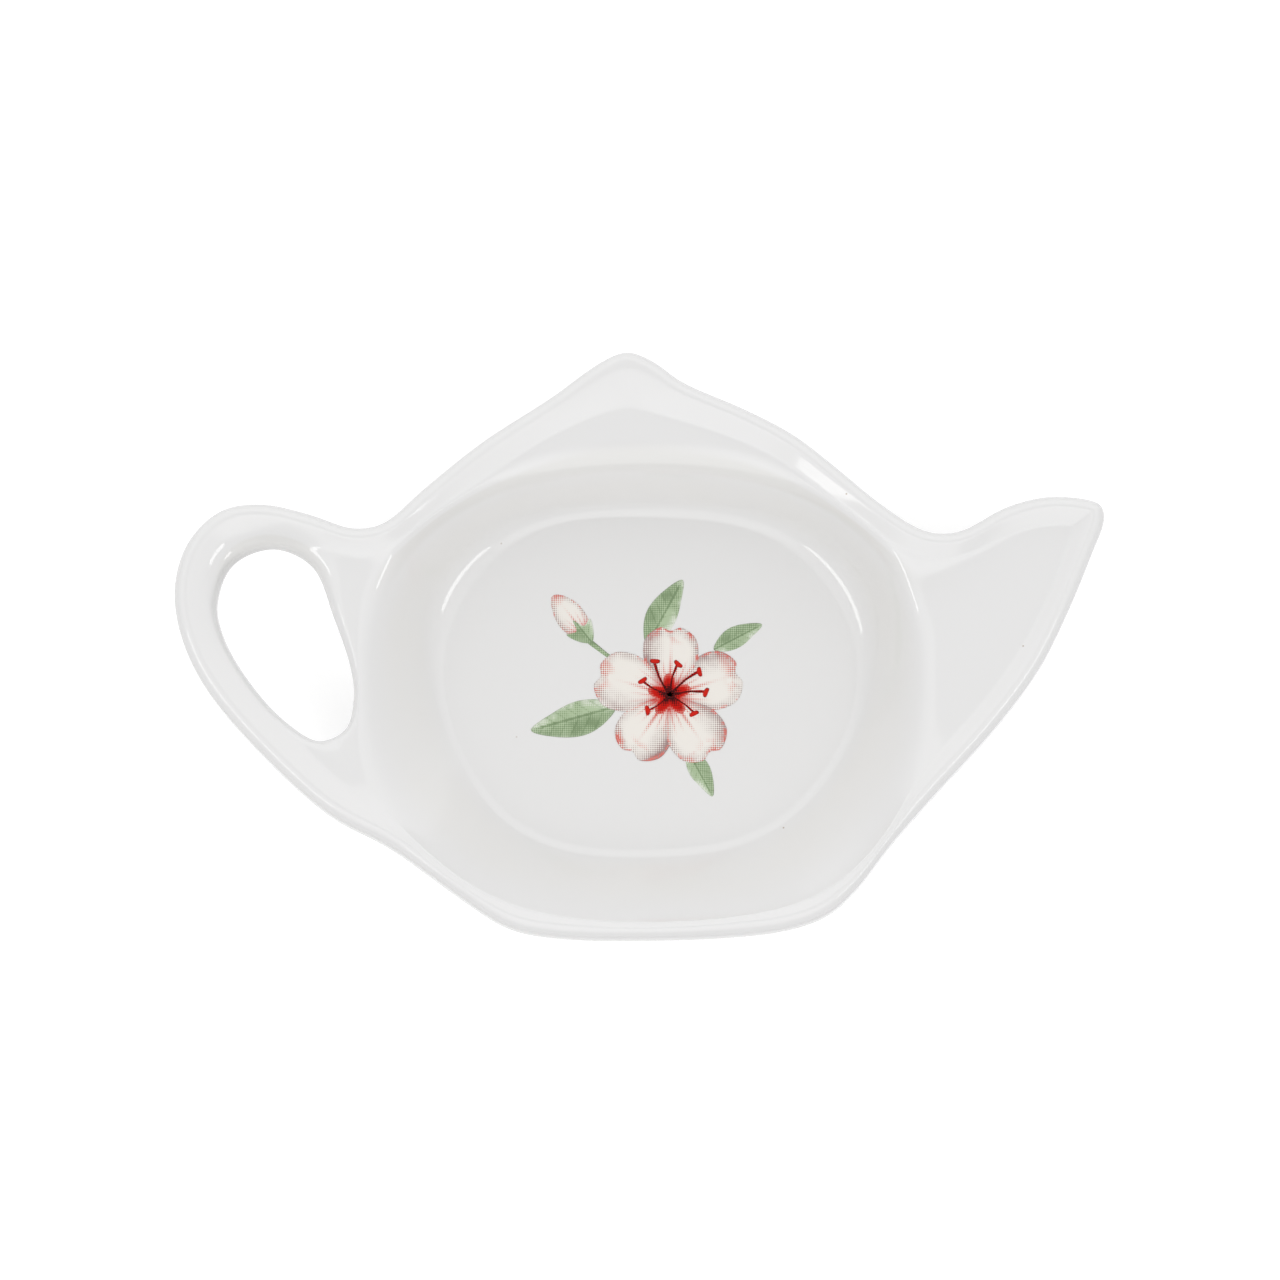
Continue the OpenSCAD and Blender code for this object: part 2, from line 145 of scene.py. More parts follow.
def inward(loop):
    """The unit normal to the right of the way along a clockwise loop: the chord between the two
    neighbours of each point, turned by a quarter."""
    along = np.roll(loop, -1, 0) - np.roll(loop, 1, 0)
    return unit(np.stack([along[:, 1], -along[:, 0]], -1))


def softened(loop, width):
    """Each value of a loop replaced by a bell-weighted mean over about width columns each way."""
    steps = np.arange(-2 * width, 2 * width + 1)
    bell = np.exp(-(steps / width) ** 2)
    return sum(w * np.roll(loop, k, 0) for k, w in zip(steps, bell / bell.sum()))


def eased(loop, width):
    """A softened loop with what softening takes away from its bends given back: twice the mean
    less the mean of the mean."""
    mean = softened(loop, width)
    return 2 * mean - softened(mean, width)


EDGE_CALM = 4
edge = eased(rim[:, :2], EDGE_CALM)
into = inward(edge)
print("edge", round(np.linalg.norm(edge - np.roll(edge, 1, 0), axis=1).sum()), "mm round")

# %% [markdown]
# ## Mouth and floor of the well
# The well is between an oval and a box with soft corners, and bulges differently on each side. A
# superellipse has one number for all its corners. So mouth and floor are ovals pushed out by
# shares at even steps of the bearing, and a few waves carry the shares smoothly round the turn. The
# floor lies inside the mouth by the run of the wall, which differs on the four sides.

# %% Mouth and floor: two ovals with a bulge
MOUTH_PLACE, MOUTH_SIZE = np.array([0.006, -0.083]), np.array([0.590, 0.765])
MOUTH_BULGE = np.array([1, 1.05, 1.08, 1.055, 1.015, 1.015, 1.06, 1.10, 1.06,
                        1.01, 1.035, 1.06, 1.06, 1.02, 1.02, 1.09, 1.08, 1.025])
FLOOR_BULGE = np.array([0.99, 1.06, 1.12, 1.08, 1.015, 1.015, 1.09, 1.12, 1.06,
                        0.995, 0.98, 1.02, 1.07, 1.02, 1.01, 1.03, 0.985, 0.97])
RUN_FAR, RUN_NEAR, RUN_LEFT, RUN_RIGHT = 3.4, 10.0, 8.3, 6.7
WAVE_CALM = 6.0
mouth_centre, mouth_half = MOUTH_PLACE * PLAN, MOUTH_SIZE * PLAN / 2
floor_centre = mouth_centre + np.array([RUN_LEFT - RUN_RIGHT, RUN_NEAR - RUN_FAR]) / 2
floor_half = mouth_half - np.array([RUN_LEFT + RUN_RIGHT, RUN_NEAR + RUN_FAR]) / 2


def round_value(shares, angles):
    """A value that runs smoothly round a turn past evenly spaced shares: the sum of their waves,
    each made smaller by a bell over its number, so that the short ones stay calm."""
    wave = np.arange(len(shares) // 2)
    size = np.fft.rfft(shares)[:len(wave)] / len(shares) * np.exp(-(wave / WAVE_CALM) ** 2 / 2)
    size[1:] *= 2
    return (size * np.exp(1j * np.radians(angles)[..., None] * wave)).real.sum(-1)


def oval(centre, half, shares, angles):
    """Points on an ellipse at bearings: half its size times cosine and sine, times the bulge."""
    way = np.stack([np.cos(np.radians(angles)), np.sin(np.radians(angles))], -1)
    return centre + half * way * round_value(shares, angles)[..., None]


def mouth_at(angles):
    """The mouth of the well at bearings: its oval."""
    return oval(mouth_centre, mouth_half, MOUTH_BULGE, angles)


def floor_at(angles, inset=0.0):
    """The edge of the floor at bearings: its oval, smaller by inset all round."""
    return oval(floor_centre, floor_half - inset, FLOOR_BULGE, angles)


mouth = mouth_at(bearing)
print("mouth", np.ptp(mouth, axis=0).round(1), "mm, floor", np.ptp(floor_at(bearing), axis=0).round(1), "mm")

# %% [markdown]
# ## The opening of the handle
# A fingertip goes through it, so its rim is rounded, with a longer slope under the arch where the
# finger lifts. It could be cut out with a second solid, but that leaves long thin faces, which
# glaze shows at once. Here the opening is a loop of its own that the skin is drawn down to.

# %% The opening, and how the top sinks towards it
BAR_WIDTH, STRIP_WIDTH, OPENING_LENGTH, OPENING_DROP = 5.4, 2.2, 25.5, 2.3
HANDLE_TOP_SHARE, OPENING_STEPS = 0.237, 200
OPENING = np.array([[0.41, 1], [0.69, 0.90], [0.85, 0.64], [0.975, 0.38], [1, 0.22], [0.94, 0.06],
                    [0.755, 0], [0.51, 0.10], [0.25, 0.30], [0.055, 0.53], [0, 0.715], [0.11, 0.915]])
opening_low = np.array([BAR_WIDTH - LENGTH / 2, HANDLE_TOP_SHARE * WIDTH - BAR_WIDTH - OPENING_LENGTH])
opening_high = np.array([mouth_centre[0] - mouth_half[0] - STRIP_WIDTH, opening_low[1] + OPENING_LENGTH])
opening = smooth_loop(opening_low + OPENING * (opening_high - opening_low), OPENING_STEPS)

RIM_ROUND, RIM_REACH, RIM_FALL = 0.9, 1.6, 0.25
ARCH_REACH, ARCH_FALL = 2.0, 1.35
ARCH_FOOT, ARCH_HEIGHT, ARCH_RIGHT, ARCH_SPAN = 5.0, 8.0, -36.5, 6.0
up_arch = np.clip((opening[:, 1] - ARCH_FOOT) / ARCH_HEIGHT, 0, 1)
under_arch = up_arch * np.clip((ARCH_RIGHT - opening[:, 0]) / ARCH_SPAN, 0, 1)
opening_reach = RIM_REACH + ARCH_REACH * under_arch
opening_fall = RIM_FALL + ARCH_FALL * under_arch


def nearest(points, loop):
    """For each point, the index of the closest point of the loop and the distance to it."""
    gap = np.linalg.norm(points[:, None] - loop[None], axis=-1)
    return gap.argmin(1), gap.min(1)


def hole_drop(plan):
    """How far the top has sunk near the opening: a slope that grows evenly over its reach, which is
    longest under the arch of the handle, and then a quarter of an ellipse at the rim itself."""
    index, gap = nearest(plan.reshape(-1, 2), opening)
    slope = np.clip(1 - gap / opening_reach[index], 0, 1)
    turn = np.clip(1 - gap / RIM_ROUND, 0, 1)
    fall = opening_fall[index]
    return (fall * slope ** 2 + (OPENING_DROP - fall) * (1 - np.sqrt(1 - turn ** 2))).reshape(plan.shape[:-1])


print("opening", np.ptp(opening, axis=0).round(1), "mm,", len(opening), "points")

# %% [markdown]
# ## The lip in plan
# The lip is the raised band along the edge. It is pressed with the dish, as wide as the outline
# leaves room for, and low where it is narrow. An offset of the edge alone would cross itself in
# the tight bends, so the foot of the lip is softened, and more where there is room beside it.

# %% The foot of the lip
LIP_LAND_SHARE, NOSE_LIP_SHARE, NARROW_LAND = 0.8, 0.65, 7.0
RISE_CALM, FOOT_CALM, WIDE_FOOT_CALM = 14, 6, 12
land = np.linalg.norm(mouth - edge, axis=1)
over_lip = unit(into + unit(mouth - edge))
lip = np.minimum(lip_share * LIP_WIDTH / (over_lip * into).sum(1), LIP_LAND_SHARE * land)
nose = np.minimum(EDGE_ROUND, NOSE_LIP_SHARE * lip)
rise = softened(LIP_RISE * np.minimum(1, (lip - nose) / (LIP_WIDTH - EDGE_ROUND)), RISE_CALM)
sharp_foot = edge + over_lip * lip[:, None]
wide_land = np.clip((land - NARROW_LAND) / NARROW_LAND, 0, 1)[:, None]
lip_foot = softened(sharp_foot, FOOT_CALM) * (1 - wide_land)
lip_foot += softened(sharp_foot, WIDE_FOOT_CALM) * wide_land
print("lip", lip.min().round(1), "to", lip.max().round(1), "mm wide")

# %% [markdown]
# ## How the skin is cut into strips
# A surface with one hole in it can't be a single grid. This one is cut like a pair of trousers: one
# strip of columns runs all round the outside, one ring closes round the well, and one round the
# opening of the handle. The two rings share a seam along the narrow strip between opening and well,
# and all three meet at the two ends of that seam. Neighbours share their edge points exactly, so
# merging equal points closes the skin.

# %% The seam and the two rings in plan
HANDLE_ROWS, SEAM_STEPS, RIDGE_SHARE = (29, 38), 60, 0.42
first, last = (row * COLUMN_STEPS for row in HANDLE_ROWS)
u = np.linspace(0, 1, SEAM_STEPS + 1)
seam_bearing = bearing[first] + (bearing[last] - bearing[first]) * u
seam_fall = DECK_FALL * np.sin(np.pi * u) ** 2


def between_ends(line, start, end):
    """A line moved so that it begins at start and stops at end: each of the two gaps is added to
    all points, times the cube of how near they are to that end."""
    return line + (start - line[0]) * ((1 - u) ** 3)[:, None] + (end - line[-1]) * (u ** 3)[:, None]


seam_mouth = mouth_at(seam_bearing)
across_strip = opening[nearest(seam_mouth, opening)[0]] - seam_mouth
ridge = between_ends(seam_mouth + across_strip * RIDGE_SHARE, lip_foot[first], lip_foot[last])

handle = np.arange(first, last + 1)
body = np.r_[last:len(edge), 0:first + 1]
well_loop = np.vstack([lip_foot[body], ridge[1:-1]])
well_bearing = np.r_[bearing[body] + np.where(body < last, 0, 360), seam_bearing[1:-1]]
hole_loop = np.vstack([lip_foot[handle], ridge[-2:0:-1]])
print("well ring", len(well_loop), "columns, handle ring", len(hole_loop), "columns")

# %% [markdown]
# ## The section
# From the crest inwards the section falls down the soft slope of the lip, runs nearly flat, turns
# over the shoulder into the wall and rounds out into the floor. It could be one long curve, but
# then no size of it could be set by itself. So it is made of straight rows and soft corners, which
# are parabolas drawn towards the sharp corner, with more rows where it bends more.


# %% Pieces of section, as arrays of rows by columns by XYZ
def at_height(plan, z):
    """Plan points lifted to a height, which may differ per point."""
    return np.concatenate([plan, np.broadcast_to(np.asarray(z)[..., None], plan.shape[:-1] + (1,))], -1)


def soft_corner(a, c, b, steps):
    """Rows from a to b along the parabola that c pulls on: a mix of mixes."""
    t = np.linspace(0, 1, steps)[:, None, None]
    return a * (1 - t) ** 2 + c * 2 * t * (1 - t) + b * t ** 2


def straight(a, b, steps):
    """Rows at even steps from a to b."""
    t = np.linspace(0, 1, steps)[:, None, None]
    return a + (b - a) * t


def even_slope(t, rounding):
    """A way up from 0 to 1 at an even slope, rounded at both ends: the area under a trapezoid,
    whose sides take the share rounding each, divided by the whole area."""
    low, high = np.minimum(t, rounding), np.minimum(1 - t, rounding)
    flat = rounding * np.clip(t - rounding, 0, 1 - 2 * rounding)
    return (low ** 2 / 2 + flat + (rounding ** 2 - high ** 2) / 2) / (rounding * (1 - rounding))


print("half-way up an even slope:", even_slope(0.5, 0.2).round(3))

# %% The lower round, and the outside of the wall
ROUND_STEPS = 9
quarter = np.linspace(0, np.pi / 2, ROUND_STEPS)[:, None]


def under_round(line, way, radius):
    """A quarter of a circle from an upright side onto the underside: it moves along the way by the
    radius times 1 less the cosine, and sinks by the radius times the sine."""
    plan = line + way * (radius * (1 - np.cos(quarter)))[..., None]
    return at_height(plan, UNDER + radius * (1 - np.sin(quarter)))


def belly_points(bearings, mouth_z):
    """The two corners of the outside of the wall, seen from above: both lie out from the inside
    by the thickness times the tangent of half the slope."""
    top, foot = mouth_at(bearings), floor_at(bearings)
    half_slope = np.arctan2(mouth_z - FLOOR, np.linalg.norm(top - foot, axis=1)) / 2
    push = unit(top - foot) * (WALL_THICKNESS * np.tan(half_slope))[:, None]
    return top + push, foot + push


print("the deck lies at", round(DECK, 1), "mm, its underside at", round(UNDER, 1), "mm")

# %% [markdown]
# ## The outer strip
# The rim is the part that fingers and light find first: a soft slope up the lip, a round nose, and
# a small round below. A bevel on a sharp edge would give one radius everywhere. Here every column
# has its own, as narrow as its lip, and the flat below ends half-way to the belly of the well.

# %% The strip all round the outside, from the foot of the lip over the edge to the underside
LIP_STEPS, LIP_ROUNDING, UNDER_STEPS, UNDER_SHARE, UNDER_BLEND = 14, 0.16, 5, 0.5, 12
t = np.linspace(0, 1, LIP_STEPS)[:, None]
on_lip = lip_foot + (edge + into * nose[:, None] - lip_foot) * t[..., None]
lip_z = CREST - rise * (1 - even_slope(t, LIP_ROUNDING))
lip_rows = at_height(on_lip, lip_z - hole_drop(on_lip))
nose_plan = edge + into * (nose * (1 - np.sin(quarter[1:])))[..., None]
nose_rows = at_height(nose_plan, CREST - EDGE_ROUND * (1 - np.cos(quarter[1:])))
under_rows = under_round(edge, into, UNDER_ROUND)

belly_top, _ = belly_points(bearing, CREST - rise - DECK_FALL)
under_start = edge + into * UNDER_ROUND
under_loop = under_start + (belly_top - under_start) * UNDER_SHARE
under_loop[handle] = lip_foot[handle]
for side, at in ((-1, first), (1, last)):
    near = (at + side * np.arange(1, UNDER_BLEND)) % len(edge)
    weight = (1 - np.arange(1, UNDER_BLEND) / UNDER_BLEND)[:, None]
    under_loop[near] += (lip_foot[near] - under_loop[near]) * weight
under_deck = straight(under_rows[-1], at_height(under_loop, UNDER), UNDER_STEPS)[1:]
outer = np.concatenate([lip_rows, nose_rows, under_rows, under_deck])
print("outer strip", outer.shape[:2])

# %% [markdown]
# ## The deck
# Between lip and well lies a nearly flat deck, wide on the lid and the spout and narrow elsewhere.
# Straight rows across it would crease where its width changes, and glossy glaze shows every crease.
# So it sinks like a sheet of rubber pulled between its two edges, worked out by taking the mean of
# the neighbours over and over.

# %% The deck between lip and well, as one soft sheet
EVEN_ROUNDS, SHARE_ROUNDS, FALL_EASE, WIDE_DECK = 30, 1500, 0.2, 10.0


def relaxed_deck(rows, high, fall, last_share):
    """The deck sinks by fall towards the well. Where it is wide, its points are first spaced evenly.
    How much of the fall a point has is its share, 0 at the lip and 1 at the mouth. Every share is
    the mean of its four neighbours', the nearer the heavier, and the sunk part is the root of the
    squares of share and ease, less the ease, scaled to end at 1."""
    plan = rows[..., :2].copy()
    width = np.linalg.norm(plan[-1] - plan[0], axis=1)
    row = np.arange(1, len(rows) - 1)[:, None] / (len(rows) - 1)
    ease = (np.clip(width / WIDE_DECK, 0, 1) ** 2 * row)[..., None]
    for _ in range(EVEN_ROUNDS):
        around = (plan[:-2] + plan[2:] + np.roll(plan, 1, 1)[1:-1] + np.roll(plan, -1, 1)[1:-1]) / 4
        plan[1:-1] += (around - plan[1:-1]) * ease
    down = 1 / ((plan[1:] - plan[:-1]) ** 2).sum(-1)
    side = 1 / ((np.roll(plan, -1, 1) - plan) ** 2).sum(-1)[1:-1]
    other = np.roll(side, 1, 1)
    share = np.linspace(0, 1, len(rows))[:, None] * last_share
    for _ in range(SHARE_ROUNDS):
        total = (down[:-1] * share[:-2] + down[1:] * share[2:]
                 + side * np.roll(share, -1, 1)[1:-1] + other * np.roll(share, 1, 1)[1:-1])
        share[1:-1] = total / (down[:-1] + down[1:] + side + other)
    sunk = (np.sqrt(share ** 2 + FALL_EASE ** 2) - FALL_EASE) / (math.sqrt(1 + FALL_EASE ** 2) - FALL_EASE)
    return at_height(plan, high - fall * sunk - hole_drop(plan))


SHOULDER, SHOULDER_CALM, SHOULDER_SHARE, SHOULDER_LIMIT, DECK_STEPS = 1.7, 16, 0.9, 0.95, 9
lid_side = np.maximum(0, np.sin(np.radians(bearing))) ** 2
ring_fall = np.r_[(DECK_FALL + (LID_FALL - DECK_FALL) * lid_side)[body], (DECK_FALL - seam_fall)[1:-1]]
ring_z = np.r_[(CREST - rise)[body], (DECK - seam_fall)[1:-1]]
ring_mouth = at_height(mouth_at(well_bearing), ring_z - ring_fall)
ring_start = at_height(well_loop, ring_z)
deck_length = np.linalg.norm((ring_start - ring_mouth)[:, :2], axis=1)[:, None]
shoulder_in = np.minimum(SHOULDER, SHOULDER_SHARE * deck_length)
shoulder_in = np.minimum(softened(shoulder_in, SHOULDER_CALM), SHOULDER_LIMIT * deck_length)
shoulder_start = ring_mouth + unit(ring_start - ring_mouth) * shoulder_in
deck_rows = relaxed_deck(straight(ring_start, shoulder_start, DECK_STEPS), ring_z, ring_fall,
                         1 - shoulder_in[:, 0] / deck_length[:, 0])
print("deck", deck_length.min().round(1), "to", deck_length.max().round(1), "mm wide")

# %% [markdown]
# ## The well
# The wall drops from the shoulder to the floor and rounds out into it, with a wider round in the
# two far corners, where the streaks of light on the real floor are wide and soft. A fillet tool
# would put one radius everywhere. Here the radius grows by a bell over the bearing. The rows go on
# to the middle of the floor, where all columns meet in one point.

# %% The ring of the well, from the seam and the foot of the lip to the middle of the floor
FILLET_RADIUS, CORNER_RADIUS, CORNER_BEARINGS, CORNER_SPREAD = 2.6, 8.0, (148, 32, -212, 392), 24
CORNER_STEPS, WALL_STEPS, FLOOR_STEPS = 12, 7, 12
ring_floor = at_height(floor_at(well_bearing), FLOOR)
up_wall = unit(ring_mouth - ring_floor)
wall_top = ring_mouth - up_wall * SHOULDER
floor_out = unit(ring_mouth[:, :2] - ring_floor[:, :2])
far_corner = sum(np.exp(-((well_bearing - at) / CORNER_SPREAD) ** 2) for at in CORNER_BEARINGS)
radius = FILLET_RADIUS + (CORNER_RADIUS - FILLET_RADIUS) * far_corner
fillet = (radius * np.tan(np.arcsin(up_wall[:, 2]) / 2))[:, None]
wall_foot = ring_floor + up_wall * fillet
floor_start = ring_floor - at_height(floor_out * fillet, 0.0)
middle = np.broadcast_to([*floor_centre, FLOOR], floor_start.shape)
well = np.concatenate([
    deck_rows,
    soft_corner(deck_rows[-1], ring_mouth, wall_top, CORNER_STEPS)[1:],
    straight(wall_top, wall_foot, WALL_STEPS)[1:],
    soft_corner(wall_foot, ring_floor, floor_start, CORNER_STEPS)[1:],
    straight(floor_start, middle, FLOOR_STEPS)[1:]])
print("well ring", well.shape[:2])

# %% [markdown]
# ## The inside of the opening
# The skin goes down through the opening and comes out below with a small round, as the sponge
# leaves it. Extruding the loop downwards would leave sharp edges. So columns run from the foot of
# the lip and the seam to the nearest points of the opening, with their rows closer together towards
# the rim, where the round is tight, and go on down the side and out below.

# %% The ring round the opening, from the seam down through the hole to the underside
HOLE_STEPS, HOLE_SIDE_STEPS, HOLE_UNDER_STEPS, LOWER_ROUND_SHARE = 18, 5, 3, 0.6
hole_edge = opening[nearest(hole_loop, opening)[0]]
s = np.sin(np.linspace(0, np.pi / 2, HOLE_STEPS))[:, None, None]
hole_plan = hole_loop + (hole_edge - hole_loop) * s
hole_z = np.r_[(CREST - rise)[handle], (DECK - seam_fall)[-2:0:-1]]
hole_top = at_height(hole_plan, hole_z - hole_drop(hole_plan))
seam_belly, _ = belly_points(seam_bearing, DECK - DECK_FALL)
seam_hole = opening[nearest(seam_belly, opening)[0]]
under_seam = between_ends((seam_belly + seam_hole) / 2, under_loop[first], under_loop[last])
hole_under = np.vstack([under_loop[handle], under_seam[-2:0:-1]])
lower_round = np.minimum(UNDER_ROUND, LOWER_ROUND_SHARE * np.linalg.norm(hole_under - hole_edge, axis=1))
lower_rows = under_round(hole_edge, unit(hole_under - hole_edge), lower_round)
hole = np.concatenate([
    hole_top,
    straight(hole_top[-1], lower_rows[0], HOLE_SIDE_STEPS)[1:],
    lower_rows[1:],
    straight(lower_rows[-1], at_height(hole_under, UNDER), HOLE_UNDER_STEPS)[1:]])
print("hole ring", hole.shape[:2])

# %% [markdown]
# ## The underside
# Below, the dish has a belly that follows the well at an even wall, and a foot ring that follows
# the edge of the floor. Solidify could give the wall, but not the ring and its small rounds. So the
# section just goes on, round the belly, over the ring and in to the middle. The ring stops short of
# the table here, because its bare part is a piece with its own finish.

# %% The ring of the underside, from the deck round the belly to the foot ring and the middle
BARE_HEIGHT, FOOT_ROUND, BASE_ROUND, BASE_TOE, BELLY_SHARE = 0.5, 0.3, 0.9, 0.5, 0.9
REST_STEPS, BEND_STEPS, SIDE_STEPS, TOE_STEPS, BASE_STEPS = 3, 9, 7, 5, 9


def foot_loop(inset, z):
    """A loop of the foot ring at a height: the edge of the floor, smaller by inset."""
    return at_height(floor_at(well_bearing, inset), z)


def foot_bend(inset, base_inset):
    """The small round from the base into the flank of the foot ring: a soft corner at inset."""
    return soft_corner(foot_loop(base_inset, FOOT_HEIGHT), foot_loop(inset, FOOT_HEIGHT),
                       foot_loop(inset, FOOT_HEIGHT - FOOT_ROUND), TOE_STEPS)


ring_out, ring_in = FOOT_INSET, FOOT_INSET + FOOT_WIDTH
belly_loop = np.vstack([under_loop[body], under_seam[1:-1]])
belly_top, belly_foot = belly_points(well_bearing, ring_z - ring_fall)
belly_corner, foot_corner = at_height(belly_top, UNDER), at_height(belly_foot, FOOT_HEIGHT)
up_belly = unit(belly_corner - foot_corner)
bend_start = at_height(belly_top + (belly_loop - belly_top) * BELLY_SHARE, UNDER)
bend_end = belly_corner - up_belly * SHOULDER
base_start = foot_corner + up_belly * BASE_ROUND
base_end = foot_corner + unit(foot_loop(ring_out, FOOT_HEIGHT) - foot_corner) * BASE_TOE
inner_bend = foot_bend(ring_in, ring_in + FOOT_ROUND)[::-1]
under_middle = np.broadcast_to([*floor_centre, FOOT_HEIGHT], base_end.shape)
belly = np.concatenate([
    straight(at_height(belly_loop, UNDER), bend_start, REST_STEPS),
    soft_corner(bend_start, belly_corner, bend_end, BEND_STEPS)[1:],
    straight(bend_end, base_start, SIDE_STEPS)[1:],
    soft_corner(base_start, foot_corner, base_end, SIDE_STEPS)[1:],
    foot_bend(ring_out, ring_out - FOOT_ROUND),
    foot_loop(ring_out, BARE_HEIGHT)[None],
    foot_loop(ring_in, BARE_HEIGHT)[None],
    inner_bend,
    straight(inner_bend[-1], under_middle, BASE_STEPS)[1:]])
print("belly ring", belly.shape[:2])

# %% [markdown]
# ## From grids to closed meshes
# Blender wants points and faces. All strips of a piece go in together: points in the same place
# become one, which closes the seams and the poles, and the normals are turned outwards. The number
# of open edges must be 0, and the volume above it. Wherever sections of different make meet, the
# points may also relax towards their neighbours, as melting glaze does.


# %% Faces of a grid, and points that relax
def grid_faces(rows, columns):
    """Corner numbers of the four-sided faces of a grid whose last column joins the first: each
    point, the next in its row, and the two below them."""
    i, j = np.meshgrid(np.arange(rows - 1), np.arange(columns), indexing="ij")
    here, right = i * columns + j, i * columns + (j + 1) % columns
    return np.stack([here, right, right + columns, here + columns], -1).reshape(-1, 4)


def relax_points(points, faces, loose, rounds):
    """Rounds of moving each point towards the mean of its neighbours, by its looseness of 0 to 1.
    Creases between neighbouring sections go, and what is stiff stays where it is."""
    pairs = np.concatenate([faces[:, [k, (k + 1) % 4]] for k in range(4)])
    pairs = np.unique(np.sort(pairs[pairs[:, 0] != pairs[:, 1]], axis=1), axis=0)
    one, other = np.concatenate([pairs, pairs[:, ::-1]]).T
    count = np.bincount(one, minlength=len(points))[:, None]
    for _ in range(rounds):
        total = np.stack([np.bincount(one, points[other, k], len(points)) for k in range(3)], 1)
        points = points + (total / count - points) * loose[:, None]
    return points


print("a grid with 3 rows of 4 points has", len(grid_faces(3, 4)), "faces")


# %% One closed mesh from grids of points
def make_piece(name, grids, material, loose=None, rounds=0, values=None):
    """One closed mesh from grids of points in millimetres. Points that agree to 5 decimals become
    one, and the normals are turned outwards. Values are numbers kept at the points."""
    points = np.concatenate([grid.reshape(-1, 3) for grid in grids])
    start, faces = 0, []
    for grid in grids:
        faces.append(grid_faces(*grid.shape[:2]) + start)
        start += grid.shape[0] * grid.shape[1]
    _, where, number = np.unique(np.round(points, 5), axis=0, return_index=True, return_inverse=True)
    faces = number.reshape(-1)[np.concatenate(faces)]
    points = points[where]
    if rounds:
        points = relax_points(points, faces, loose[where], rounds)
    mesh = bpy.data.meshes.new(name)
    mesh.from_pydata(points * MM, [], faces.tolist())
    for value_name, value in (values or {}).items():
        mesh.attributes.new(value_name, "FLOAT", "POINT").data.foreach_set("value", value[where])
    bm = bmesh.new()
    bm.from_mesh(mesh)
    bmesh.ops.dissolve_degenerate(bm, dist=1e-9, edges=bm.edges)
    bmesh.ops.recalc_face_normals(bm, faces=bm.faces)
    open_edges = sum(len(e.link_faces) != 2 for e in bm.edges)
    volume = bm.calc_volume(signed=True)
    bm.to_mesh(mesh)
    bm.free()
    mesh.shade_smooth()
    mesh.validate()
    piece = bpy.data.objects.new(name, mesh)
    bpy.context.scene.collection.objects.link(piece)
    mesh.materials.append(material)
    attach(piece, "root")
    print(f"{name}: {len(mesh.vertices)} points, {len(mesh.polygons)} faces, {open_edges} open edges, "
          f"{volume / MM ** 3:.1f} mm3")
    return piece


# %% [markdown]
# ## Finishes in nodes
# Every finish of the dish is a shader whose colour, roughness and bump come from small sums of
# noise, of the height on the object and of numbers kept at the points. They could be wired by hand
# in the shader editor. One class holds the few kinds of node that the sums need, so each finish
# below reads like a recipe.


# %% Sums written as nodes
class Sums:
    """Sums in one node tree. Every value is a socket, a number or a colour."""

    def __init__(self, tree):
        self.nodes, self.links = tree.nodes, tree.links

    def set(self, socket, value):
        """Put a number, a colour or another socket on a socket."""
        if isinstance(value, tuple):
            socket.default_value = (*value, 1)
        elif isinstance(value, (int, float)):
            socket.default_value = value
        else:
            self.links.new(value, socket)

    def math(self, operation, *values):
        """A math node on sockets or numbers."""
        node = self.nodes.new("ShaderNodeMath")
        node.operation = operation
        for socket, value in zip(node.inputs, values):
            self.set(socket, value)
        return node.outputs[0]

    def chain(self, operation, *values):
        """The first value with each of the others put to it by the same operation, in turn."""
        result = values[0]
        for value in values[1:]:
            result = self.math(operation, result, value)
        return result

    def product(self, *values):
        """All values multiplied."""
        return self.chain("MULTIPLY", *values)

    def total(self, *values):
        """All values added."""
        return self.chain("ADD", *values)

    def full(self, *values):
        """All values added, but never more than one."""
        return self.math("MINIMUM", 1.0, self.total(*values))

    def ramp(self, value, low, high, start=0.0, end=1.0):
        """A smooth step of a value, start at low and end at high: with t the way between the two,
        3 times its square less 2 times its cube."""
        node = self.nodes.new("ShaderNodeMapRange")
        node.interpolation_type = "SMOOTHSTEP"
        limits = {"Value": value, "From Min": low, "From Max": high, "To Min": start, "To Max": end}
        for name, number in limits.items():
            self.set(node.inputs[name], number)
        return node.outputs["Result"]


print("sums are made with:", ", ".join(name for name in vars(Sums) if name[0] != "_"))

# %% Paint for a surface
GLAZE_IOR = 1.56


